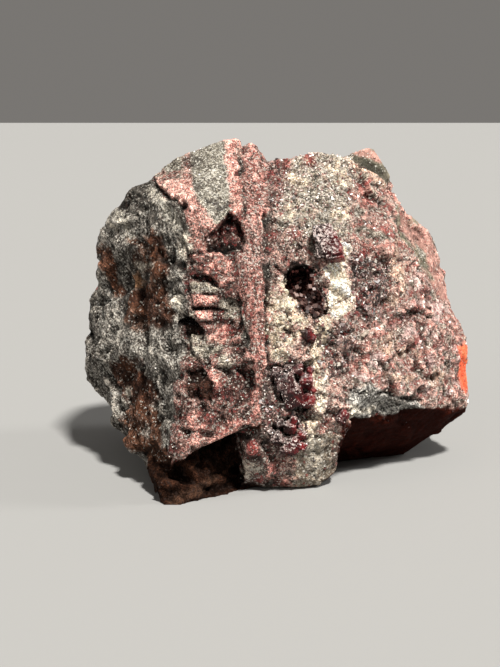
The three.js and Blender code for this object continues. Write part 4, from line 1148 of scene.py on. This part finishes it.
# %% The host rock's surface stands for its solid
rock_mesh.polygons.foreach_set("use_smooth", np.ones(len(rock_mesh.polygons), bool))
rock_mesh.materials.append(rock_finish)
rock_surface = bpy.data.objects.new("rock_surface", rock_mesh)
bpy.context.scene.collection.objects.link(rock_surface)
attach(rock_surface, "root")
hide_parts("host_rock")
print("rock surface:", len(rock_mesh.polygons), "faces")

# %% [markdown]
# The crystals are trigonal, so they grow as rhombohedra: six rhombic faces, like a cube pulled along one
# diagonal. The small ones repeat by the thousand. One grain of twelve triangles is scattered over a net
# by Geometry Nodes where a mask allows it, turned at random, and made real at the end.

# %% One grain
SIDE_REACH = 0.94  # reach of a crystal's side corners, over its half-width


def rhombohedron_corners(tall):
    """Six corners that zigzag round the threefold axis, along Z, and the two tips."""
    corners = []
    for i in range(6):
        angle = i * math.pi / 3
        rise = (1 if i % 2 else -1) * tall / 3
        corners.append(Vector((SIDE_REACH * math.cos(angle), SIDE_REACH * math.sin(angle), rise)))
    return corners + [Vector((0, 0, tall)), Vector((0, 0, -tall))]


def rhombohedron_mesh(name, stretch):
    """A closed rhombohedron about one unit in half-width."""
    work = bmesh.new()
    for corner in rhombohedron_corners(stretch):
        work.verts.new(corner)
    bmesh.ops.convex_hull(work, input=work.verts)
    bmesh.ops.recalc_face_normals(work, faces=work.faces)
    mesh = bpy.data.meshes.new(name)
    work.to_mesh(mesh)
    work.free()
    return mesh


blocky_grain = bpy.data.objects.new("blocky_grain", rhombohedron_mesh("blocky_grain", 0.95))
bladed_grain = bpy.data.objects.new("bladed_grain", rhombohedron_mesh("bladed_grain", 2.8))
print("grain faces:", len(blocky_grain.data.polygons))

# %% [markdown]
# Points are strewn with a least distance between them, more where the mask is high. Each point is sunk a
# little, so that no grain hangs in the air, and gets a grain of its own size and turn. A random number
# is kept with each grain for its colour.

# %% The tree that scatters a grain
MOST_TURN = 6.28  # radians about each axis, by which a grain may be turned


def scattering_tree():
    """A tree that grows grains on a surface where a named attribute is high."""
    tree, group_in, group_out = named_group("scattered_grains", "GeometryNodeTree", [
        ("Geometry", "INPUT", "NodeSocketGeometry"),
        ("Grain", "INPUT", "NodeSocketObject"),
        ("Mask", "INPUT", "NodeSocketString"),
        ("Apart", "INPUT", "NodeSocketFloat"),
        ("Per square metre", "INPUT", "NodeSocketFloat"),
        ("Smallest", "INPUT", "NodeSocketFloat"),
        ("Largest", "INPUT", "NodeSocketFloat"),
        ("Sink", "INPUT", "NodeSocketFloat"),
        ("Seed", "INPUT", "NodeSocketInt"),
        ("Material", "INPUT", "NodeSocketMaterial"),
        ("Geometry", "OUTPUT", "NodeSocketGeometry"),
    ])
    given = group_in.outputs
    mask = add_node(tree, "GeometryNodeInputNamedAttribute", {"Name": given["Mask"]}, data_type="FLOAT")
    spread = add_node(tree, "GeometryNodeDistributePointsOnFaces", {
        "Mesh": given["Geometry"], "Distance Min": given["Apart"], "Density Max": given["Per square metre"],
        "Density Factor": mask.outputs["Attribute"], "Seed": given["Seed"],
    }, distribute_method="POISSON")
    inward = add_node(tree, "ShaderNodeVectorMath", {0: spread.outputs["Normal"], "Scale": given["Sink"]},
                      operation="SCALE")
    sunk = add_node(tree, "GeometryNodeSetPosition", {
        "Geometry": spread.outputs["Points"], "Offset": inward.outputs["Vector"],
    })
    turn = add_node(tree, "FunctionNodeRandomValue", {0: (0, 0, 0), 1: (MOST_TURN,) * 3,
                                                      "Seed": given["Seed"]}, data_type="FLOAT_VECTOR")
    turned = add_node(tree, "FunctionNodeEulerToRotation", {0: turn.outputs[0]})
    size = add_node(tree, "FunctionNodeRandomValue", {2: given["Smallest"], 3: given["Largest"]},
                    data_type="FLOAT")
    grain = add_node(tree, "GeometryNodeObjectInfo", {"Object": given["Grain"]})
    copies = add_node(tree, "GeometryNodeInstanceOnPoints", {
        "Points": sunk.outputs["Geometry"], "Instance": grain.outputs["Geometry"],
        "Rotation": turned.outputs[0], "Scale": size.outputs[1],
    })
    tint = add_node(tree, "FunctionNodeRandomValue", {2: 0.0, 3: 1.0, "Seed": 7}, data_type="FLOAT")
    tinted = add_node(tree, "GeometryNodeStoreNamedAttribute", {
        "Geometry": copies.outputs["Instances"], "Name": "tint", "Value": tint.outputs[1],
    }, data_type="FLOAT", domain="INSTANCE")
    real = add_node(tree, "GeometryNodeRealizeInstances", {"Geometry": tinted.outputs["Geometry"]})
    done = add_node(tree, "GeometryNodeSetMaterial", {
        "Geometry": real.outputs["Geometry"], "Material": given["Material"],
    })
    tree.links.new(done.outputs["Geometry"], group_out.inputs["Geometry"])
    return tree


SCATTER = scattering_tree()
print("nodes that scatter:", len(SCATTER.nodes))

# %% Scatter one kind of grain


def grain_sizes(apart, per_square_mm, smallest, largest, sink, seed):
    """The tree's inputs from millimetres. Sizes are half-widths, and sink is how far grains go in."""
    return {"Apart": apart * MM, "Per square metre": per_square_mm * 1e6, "Smallest": smallest * MM,
            "Largest": largest * MM, "Sink": -sink * MM, "Seed": seed}


def scatter(name, mask, material, sizes, ground=rock_mesh, grain=blocky_grain):
    """Grows one kind of grain on a net as a plain mesh that rides with the specimen."""
    write_floats(ground, name, mask)
    bearer = bpy.data.objects.new("bearer", ground)
    bpy.context.scene.collection.objects.link(bearer)
    growth = bearer.modifiers.new("growth", "NODES")
    growth.node_group = SCATTER
    values = {"Grain": grain, "Mask": name, "Material": material, **sizes}
    for item in SCATTER.interface.items_tree:
        if item.in_out == "INPUT" and item.name in values:
            growth[item.identifier] = values[item.name]
    mesh = evaluated_mesh(bearer)
    mesh.name = name
    bpy.data.objects.remove(bearer)
    ground.attributes.remove(ground.attributes[name])
    piece = bpy.data.objects.new(name, mesh)
    bpy.context.scene.collection.objects.link(piece)
    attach(piece, "root")
    print(name, "holds", len(mesh.polygons) // len(grain.data.polygons), "grains")
    return piece


print("inputs by name:", [item.name for item in SCATTER.interface.items_tree if item.in_out == "INPUT"])

# %% [markdown]
# Grains of the rock itself take the colour of the spot that they grew on, and each one's own tint makes
# it a little lighter or darker than its neighbours. Cream dolomite and cinnabar have palettes of their
# own. Cinnabar is deep red to nearly black, with an adamantine gloss, which is a high index of refraction.

# %% Materials of the small crystals


def palette_ramp(tree, factor, dark, middle, light, places=(0, 0.55, 1)):
    """A Color Ramp over three colours, each given by its red, green and blue out of 255."""
    ramp = add_node(tree, "ShaderNodeValToRGB", {"Fac": factor})
    for element, colour, where in zip(ramp.color_ramp.elements, (dark, light), (places[0], places[2])):
        element.position = where
        element.color = (*shade(*colour), 1)
    ramp.color_ramp.elements.new(places[1]).color = (*shade(*middle), 1)
    return ramp.outputs["Color"]


def colour_of_rock_below(tree, tint):
    """The colour of the spot that a grain grew on, which may make it a pale, dark or red grain."""
    lightness = calculate(tree, "MULTIPLY_ADD", tint, 1.3, 0.4)  # from 0.4 to 1.7 times the ground's
    own = scaled_colour(tree, attribute(tree, "ground_colour", "Color"), lightness)
    pale_from = calculate(tree, "MULTIPLY_ADD", attribute(tree, "pale_share"), -1.2, 1.0)
    is_pale = calculate(tree, "GREATER_THAN", tint, pale_from)
    own = mix_colour(tree, calculate(tree, "MULTIPLY", is_pale, 0.75), own, PALE_GRAIN)
    dark_to = calculate(tree, "MULTIPLY", attribute(tree, "dark_share"), 1.2)
    is_dark = calculate(tree, "LESS_THAN", tint, dark_to)
    own = mix_colour(tree, calculate(tree, "MULTIPLY", is_dark, 0.8), own, DARK_GRAIN)
    other_tint = calculate(tree, "FRACT", calculate(tree, "MULTIPLY", tint, 17.3))  # a fresh number
    is_red = calculate(tree, "LESS_THAN", other_tint, attribute(tree, "red_share"))
    return mix_colour(tree, calculate(tree, "MULTIPLY", is_red, 0.7), own, RED_GRAIN)


def grain_material(name, roughness, index, palette=None, **constants):
    """A finish that each grain's tint varies: from a palette, or from the shares of the rock below."""
    material, shader = principled(name, IOR=index, **constants)
    tree = material.node_tree
    tint = attribute(tree, "tint")
    own = palette_ramp(tree, tint, *palette) if palette else colour_of_rock_below(tree, tint)
    where = add_node(tree, "ShaderNodeTexCoord").outputs["Object"]
    cloud = add_node(tree, "ShaderNodeTexNoise", {"Vector": where, "Scale": 1 / (0.5 * MM), "Detail": 2.0})
    mottle = calculate(tree, "MULTIPLY_ADD", centred(tree, cloud.outputs["Fac"]), 1.2, 1.0)
    tree.links.new(scaled_colour(tree, own, mottle), shader.inputs["Base Color"])
    rough = calculate(tree, "MULTIPLY_ADD", cloud.outputs["Fac"], 0.4, roughness - 0.2)
    tree.links.new(rough, shader.inputs["Roughness"])
    return material


ROCK_GRAINS = grain_material("rock_grains", 0.34, 1.65)
CREAM_GRAINS = grain_material("cream_dolomite", 0.42, 1.6,
                              ((126, 112, 96), (190, 175, 152), (236, 230, 214)))
DUSKY_CRYSTALS = grain_material("dusky_crystals", 0.36, 1.7, ((30, 14, 14), (86, 62, 58), (160, 138, 132)))
CINNABAR_GRAINS = grain_material("small_cinnabar", 0.42, 1.8, ((16, 7, 8), (44, 18, 18), (104, 34, 33)))
print("nodes of the rock's own grains:", len(ROCK_GRAINS.node_tree.nodes))

# %% [markdown]
# Grains grow only on open rock: on the display face, clear of the ground, of overhangs and of the seats of
# the large crystals. Each kind then has its own zones.

# %% Where each kind grows
clear_of_ground = smooth_step(points[:, 2] / MM, 0.8, 1.8)
CRYSTAL_CLEARANCE = (  # X, Z and reach in mm of each spot kept free of grains
    (9.7, 57.6, 5.0), (11.6, 54.2, 4.6), (5.4, 36.4, 2.6), (1.4, 25.2, 4.8), (5.0, 21.6, 3.2),
    (4.4, 28.0, 2.9), (-0.6, 28.0, 2.6), (2.6, 12.0, 3.8), (-0.8, 14.8, 3.2), (13.4, 17.2, 3.0),
)
clear_of_crystals = np.ones(len(spot))
for x, z, reach in CRYSTAL_CLEARANCE:
    clear_of_crystals *= smooth_step(np.linalg.norm(flat - (x, z), axis=1), reach - 1.4, reach - 0.9)
open_rock = clear_of_ground * clear_of_crystals * front * (1 - facing_down)
cream_zone = np.clip(zone(CREAM_CHANNEL) + zone(CREAM_WALL) * 0.9 + along(CREAM_TRAIL, 1.4, 0.6, 1.2)
                     + 0.25 * zone(PALE_TOP), 0, 1)
dark_zone = np.clip(zone(CRYSTAL_PATCH) + zone(CRYSTAL_WALL) + 0.6 * zone(DARK_MIDDLE)
                    + 0.4 * zone(DARK_PIT) + 0.4 * zone(HOLLOW), 0, 1)
red_rock = np.clip(zone(LEDGES) + zone(BLOCK) + vein + pink_band, 0, 1)
print("share of points on open rock:", round(float(open_rock.mean()), 2))

# %% Grains of the rock's own colour
scatter("rock_grains", crystalline * (1 - 1.2 * calmer) * (1 - red_rock) * open_rock,
        ROCK_GRAINS, grain_sizes(0.34, 4.4, 0.13, 0.38, 0.14, seed=4))
scatter("red_rock_grains", np.maximum(red_rock, grey) * open_rock,
        ROCK_GRAINS, grain_sizes(0.34, 5.0, 0.10, 0.26, 0.08, seed=5))
scatter("flank_grains", flank * (1 - pink_band) * smooth_step(silvery, 0.2, 0.8) * open_rock,
        ROCK_GRAINS, grain_sizes(0.40, 3.0, 0.10, 0.28, 0.10, seed=9))
broken_rock = crystalline * (1 - red_rock) * (1 - smooth_edge) * (1 - 0.7 * zone(COLUMN))
scatter("rock_crystals", broken_rock * open_rock,
        ROCK_GRAINS, grain_sizes(0.85, 1.6, 0.30, 0.75, 0.36, seed=21))

# %% [markdown]
# These kinds have palettes of their own. Cinnabar also strays over the whole crystalline face, in a small
# share, as it does in the ore.

# %% Cream dolomite, dusky crystals and small cinnabar
scatter("cream_grains", cream_zone * open_rock,
        CREAM_GRAINS, grain_sizes(0.34, 3.2, 0.16, 0.44, 0.14, seed=3))
dusky_zone = np.clip(zone(CRYSTAL_PATCH) + 0.7 * zone(CRYSTAL_WALL) + 0.6 * zone(DARK_MIDDLE), 0, 1)
scatter("dusky_crystals", dusky_zone * open_rock,
        DUSKY_CRYSTALS, grain_sizes(0.95, 1.4, 0.35, 0.95, 0.35, seed=22))
stray = 0.08 * crystalline * (1 - zone(PINK_LOBE)) * (1 - zone(RED_TOP))
scatter("cinnabar_grains", (dark_zone + stray) * open_rock,
        CINNABAR_GRAINS, grain_sizes(0.5, 1.6, 0.16, 0.6, 0.22, seed=6))

# %% [markdown]
# Large cinnabar crystals are rarely single blocks: smaller rhombohedra grow on their faces, nearly all
# turned the same way, and leave steps that catch the light. So each crystal of a cluster is built at its
# own place and turn, smaller blocks are seated on its faces, and the lot is rebuilt as one net, which also
# rounds the edges by a tenth of a millimetre, as wear does.

# %% Material of the large crystals
CLOUD = 2.4  # mm across: where the red is lighter or darker
HIGHLIGHT_FROST_SPECK = 0.55  # mm across
STEP = 1.1  # mm across: a growth step
ETCHING = 0.42  # mm across
cinnabar_finish, shader = principled("cinnabar_crystal", IOR=1.9, Specular_IOR_Level=0.06, Coat_Weight=0.15,
                                     Coat_Roughness=0.06, Coat_IOR=1.9)
tree = cinnabar_finish.node_tree
here = add_node(tree, "ShaderNodeTexCoord").outputs["Object"]
cloud = add_node(tree, "ShaderNodeTexNoise", {"Vector": here, "Scale": 1 / (CLOUD * MM), "Detail": 4.0,
                                              "Distortion": 0.8})
# painted light: the crystals' right side, turned to the lights, is redder and the left blacker
red_and_painted_light = calculate(tree, "MULTIPLY_ADD", attribute(tree, "redness"), 0.12, cloud.outputs["Fac"])
cherry_red = palette_ramp(tree, red_and_painted_light, (28, 6, 8), (64, 13, 16), (118, 23, 27),
                          places=(0.38, 0.56, 0.74))
# frost and painted highlight: pale specks on faces that look up, where the light from above is mirrored
frost_and_glints = add_node(tree, "ShaderNodeTexNoise", {"Vector": here, "Scale": 1 / (HIGHLIGHT_FROST_SPECK * MM),
                                              "Detail": 4.0, "Roughness": 0.75})
highlight_frost_share = calculate(tree, "MULTIPLY_ADD", frost_and_glints.outputs["Fac"], 7.0, -3.3, clamp=True)
highlight_frost_share = calculate(tree, "MULTIPLY", highlight_frost_share, attribute(tree, "frosting"))
colour = mix_colour(tree, highlight_frost_share, cherry_red, (*shade(222, 204, 198), 1))
tree.links.new(colour, shader.inputs["Base Color"])
roughness = calculate(tree, "MULTIPLY_ADD", frost_and_glints.outputs["Fac"], 0.7, -0.05)
tree.links.new(roughness, shader.inputs["Roughness"])
steps = use_group(tree, tilted_planes, Place=here, Grain_size=STEP * MM, Tilt=0.45)
etched = use_group(tree, tilted_planes, Place=here, Grain_size=ETCHING * MM, Tilt=0.45)
rises = calculate(tree, "ADD", steps.outputs["Height"], etched.outputs["Height"])
bump = add_node(tree, "ShaderNodeBump", {"Height": rises, "Distance": 1.0, "Strength": 1.0})
tree.links.new(bump.outputs["Normal"], shader.inputs["Normal"])
tree.links.new(bump.outputs["Normal"], shader.inputs["Coat Normal"])
print("cinnabar nodes:", len(tree.nodes))

# %% Where the large crystals grew
GROWN = {  # node: centre in mm, half-width, height for its width, and turn about X, Y and Z
    "upper_crystal": (((9.4, -20.5, 58.1), 3.7, 0.85, (0.5, 0.3, 0.2)),
                      ((10.5, -21.2, 56.0), 4.0, 0.9, (0.6, 0.2, 0.3)),
                      ((9.9, -21.5, 54.4), 3.2, 0.9, (0.7, 0.3, 0.1)),
                      ((11.9, -21.9, 53.9), 3.6, 0.9, (0.4, 0.4, 0.1))),
    "middle_crystal": (((5.4, -28.3, 36.4), 1.9, 0.9, (0.8, 0.2, 1.0)),
                       ((6.5, -27.9, 35.4), 1.5, 1.0, (0.2, 1.2, 0.3))),
    "lower_crystals": (((0.8, -30.0, 26.2), 3.7, 0.9, (0.9, 0.2, 0.4)),
                       ((2.4, -30.1, 23.0), 3.9, 0.9, (1.0, 0.1, 0.5)),
                       ((5.4, -30.2, 26.4), 2.3, 1.0, (1.5, 0.1, 0.6)),
                       ((5.6, -30.4, 21.9), 2.3, 1.0, (0.3, 0.8, 1.1)),
                       ((3.6, -29.6, 28.8), 1.9, 1.0, (0.7, 0.6, 0.2)),
                       ((-1.2, -30.8, 28.4), 1.8, 1.0, (0.5, 0.7, 0.2)),
                       ((6.6, -30.0, 24.2), 1.3, 1.0, (0.1, 0.5, 0.9)),
                       ((1.4, -30.8, 29.2), 1.3, 1.0, (1.1, 0.5, 0.3)),
                       ((6.2, -29.8, 28.6), 1.2, 1.0, (0.6, 1.1, 0.5))),
    "foot_crystals": (((2.4, -30.0, 11.8), 3.1, 0.8, (1.0, 0.5, 0.1)),
                      ((-1.0, -30.2, 13.4), 2.4, 0.9, (0.4, 1.2, 0.9)),
                      ((1.8, -30.2, 15.8), 2.2, 1.0, (1.4, 0.3, 0.5)),
                      ((4.4, -30.2, 14.2), 1.7, 1.0, (0.2, 0.9, 0.4)),
                      ((-0.6, -30.4, 16.8), 1.6, 1.0, (0.8, 0.1, 0.7)),
                      ((0.4, -31.2, 10.9), 1.3, 1.0, (0.3, 0.4, 1.2)),
                      ((4.8, -30.2, 11.4), 1.4, 1.0, (1.0, 0.9, 0.2)),
                      ((-2.6, -30.8, 14.8), 1.3, 1.0, (0.2, 0.2, 0.8)),
                      ((2.6, -31.0, 17.6), 1.2, 1.0, (1.3, 0.6, 0.4))),
    "notch_crystal": (((13.4, -26.6, 17.2), 2.5, 1.0, (0.7, 0.9, 0.3)),),
}
CORE_SHARE = 0.94  # of a crystal's half-width: its body, before the smaller blocks
BLOCKS_ON_EACH = 6
BLOCK_SHARE = (0.4, 0.8)  # of its crystal's half-width: a smaller block
ASTRAY = 0.08  # radians by which a smaller block may be turned off its crystal's own turn
CRYSTAL_NET = 0.13  # mm
print("large crystals:", sum(len(crystals) for crystals in GROWN.values()), "in", len(GROWN), "pieces")

# %% [markdown]
# The body of a crystal is a little smaller than the crystal. Smaller blocks, turned the same way but for a
# few degrees, reach out of it to nearly the full half-width, so that its faces are stepped.

# %% Build a cluster


def add_block(work, centre, size, tall, turn):
    """Adds one rhombohedron, centred in the specimen's own millimetres, to a mesh in the making."""
    corners = [work.verts.new(place(*centre) + turn @ (c * size * MM)) for c in rhombohedron_corners(tall)]
    bmesh.ops.convex_hull(work, input=corners)


def calm_net(mesh, rounds):
    """Smooths the steps that an even net leaves on slanting faces."""
    work = bmesh.new()
    work.from_mesh(mesh)
    for _ in range(rounds):
        bmesh.ops.smooth_vert(work, verts=work.verts, factor=0.5, use_axis_x=True, use_axis_y=True,
                              use_axis_z=True)
    work.to_mesh(mesh)
    work.free()
    mesh.polygons.foreach_set("use_smooth", np.ones(len(mesh.polygons), bool))
    return mesh


def grown_cluster(node, crystals):
    """The crystals of a cluster, each stepped with smaller blocks, as one net."""
    chance = np.random.default_rng(len(node) * 31 + len(crystals))
    work = bmesh.new()
    for centre, size, tall, turn in crystals:
        own_turn = Euler(turn).to_matrix()
        add_block(work, centre, CORE_SHARE * size, tall, own_turn)
        for _ in range(BLOCKS_ON_EACH):
            small = size * chance.uniform(*BLOCK_SHARE)
            way = chance.normal(size=3)
            way *= 0.95 * (size - small) / np.linalg.norm(way)
            offset = own_turn @ Vector(way * [1, 1, tall])
            off_turn = Euler(chance.uniform(-ASTRAY, ASTRAY, 3)).to_matrix()
            add_block(work, np.array(centre) + np.array(offset), small, tall, own_turn @ off_turn)
    bmesh.ops.recalc_face_normals(work, faces=work.faces)
    rough_mesh = bpy.data.meshes.new(node)
    work.to_mesh(rough_mesh)
    work.free()
    return calm_net(even_net(rough_mesh, CRYSTAL_NET * MM), 3)


print("blocks in all:", sum(len(crystals) for crystals in GROWN.values()) * (1 + BLOCKS_ON_EACH))

# %% [markdown]
# Tiny pale grains lie on faces that look up, and those faces are painted pale as well: frost, and a painted
# highlight of the light from above, each cluster by its own amount. Within a cluster the left is painted a
# little blacker and the right a little redder, as painted light from the right.

# %% A node's crystals get their looks
# frost and painted highlight: how pale each cluster's faces that look up are painted
HIGHLIGHT_FROST_AMOUNT = {"upper_crystal": 1.5, "foot_crystals": 0.8, "lower_crystals": 0.3}
LEAST_HIGHLIGHT_FROST = 0.2


def finish_crystals(node, mesh, material):
    """Makes a net the looks of a node's crystals: pale at the top left, as frost and painted highlight, and
    redder to the right, as painted light.
    """
    mesh.materials.append(material)
    at, out = read_vectors(mesh, "position"), read_vectors(mesh, "normal")
    across = (at[:, 0] - at[:, 0].mean()) / at[:, 0].std()
    # painted light: redder to the right, blacker to the left
    write_floats(mesh, "redness", np.clip(across, -1, 1.6))
    # frost and painted highlight on faces that look up, more towards the left
    facing_up = smooth_step(out[:, 2] - 0.3 * across, -0.1, 0.4)
    write_floats(mesh, "frosting", HIGHLIGHT_FROST_AMOUNT.get(node, LEAST_HIGHLIGHT_FROST) * facing_up)
    piece = bpy.data.objects.new(node + "_surface", mesh)
    bpy.context.scene.collection.objects.link(piece)
    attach(piece, "root")
    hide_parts(node)
    print(node, len(mesh.polygons), "faces")
    return piece


print("frosting:", HIGHLIGHT_FROST_AMOUNT)

# %% The large crystals, with pale grains on their upper faces: frost, and painted glints
# frost and painted highlight: near-white glossy grains that also stand for the glints on the crystals
FROST_AND_GLINT_GRAINS = grain_material("frost_and_glints", 0.25, 1.65, ((96, 52, 50), (196, 172, 164), (250, 244, 238)))
FROST_AND_GLINT_COVER = {"upper_crystal": 0.12, "lower_crystals": 1.0, "foot_crystals": 1.0, "notch_crystal": 0.3}
for node, crystals in GROWN.items():
    grown = finish_crystals(node, grown_cluster(node, crystals), cinnabar_finish)
    if node in FROST_AND_GLINT_COVER:
        out = read_vectors(grown.data, "normal")
        at = read_vectors(grown.data, "position")
        clumps = smooth_step(soft_noise((at - DATUM) / MM, 1.4, 90), -0.25, 0.15)
        mask = FROST_AND_GLINT_COVER[node] * clumps * smooth_step(out[:, 2], -0.5, 0.3)
        scatter(node + "_frost", mask, FROST_AND_GLINT_GRAINS,
                grain_sizes(0.2, 24, 0.06, 0.21, 0.05, seed=12), ground=grown.data)

# %% Bladed pale grains on the rock round them, which also stand for glints
frost_and_glint_zone = np.clip(zone(CRYSTAL_WALL) + 0.5 * zone(CRYSTAL_PATCH) + zone(PALE_TOP)
                      + 0.25 * zone(DARK_MIDDLE) + 0.2 * zone(PINK_LOBE), 0, 1)
# pale blades of crystal, which also stand for glints as painted highlights
scatter("frost_grains", open_rock * frost_and_glint_zone * 0.6,
        FROST_AND_GLINT_GRAINS, grain_sizes(0.5, 2.4, 0.10, 0.24, 0.02, seed=13), grain=bladed_grain)

# %% [markdown]
# The cavity's lining is one crust of small dark crystals. Its solid is rebuilt as a fine net, a mosaic
# sets its grains in and out, and loose crystals are scattered over it, so that the mouth reads as a hole
# among broken crystals and not as the cut edge of a bowl.

# %% Lining of the cavity
LINING_NET = 0.17  # mm
HOLE = (3.2, 49.2)  # X and Z of the deep hole's middle
HOLE_REACH = (3.0, 4.6)  # mm from there over which the lining comes out of the dark
lining = calm_net(even_net(solid_copy("cavity_crystals"), LINING_NET * MM), 1)
at = (read_vectors(lining, "position") - DATUM) / MM
out = read_vectors(lining, "normal")
offset, numbers = mosaic(at, 1.3, 140)
lit = smooth_step(np.linalg.norm(at[:, [0, 2]] - HOLE, axis=1), *HOLE_REACH)
inset = 0.5 * numbers[:, 0] + 0.5 * np.abs(np.sum(offset * (numbers - 0.5), axis=1))
lining.vertices.foreach_set("co", (DATUM + (at - out * inset[:, None]) * MM).ravel())
lining.update()
LINING_FINISH = grain_material("cavity_lining", 0.8, 1.3, ((5, 2, 2), (44, 25, 22), (112, 80, 72)),
                               Specular_IOR_Level=0.0)
# painted shade: the lining's tint falls towards black in the deep hole
write_floats(lining, "tint", lit * (0.35 + 0.65 * numbers[:, 1]))
finish_crystals("cavity_crystals", lining, LINING_FINISH)
TROUGH_GRAINS = grain_material("cavity_grains", 0.4, 1.6, ((30, 15, 13), (66, 42, 38), (134, 106, 98)))
# painted shade: nearly black grains for the deep hole
HOLE_GRAINS = grain_material("hole_grains", 0.7, 1.3, ((6, 3, 3), (20, 9, 8), (58, 32, 29)),
                             Specular_IOR_Level=0.0)
scatter("hole_grains", 1 - lit, HOLE_GRAINS,
        grain_sizes(0.5, 2.2, 0.2, 0.7, 0.15, seed=10), ground=lining)
scatter("cavity_grains", lit, TROUGH_GRAINS,
        grain_sizes(0.6, 2.2, 0.25, 0.85, 0.25, seed=14), ground=lining)

# %% [markdown]
# The looks must not change the size of the specimen, so the boxes of the solids and of the finished looks
# are both measured, and how far the looks reach beyond the solids is printed.

# %% Sizes and finish
visual_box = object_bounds()
growth_mm = (np.array(visual_box) - np.array(cad_box)).ravel() / MM
print("looks beyond the solids' box, in mm:", growth_mm.round(2).tolist())
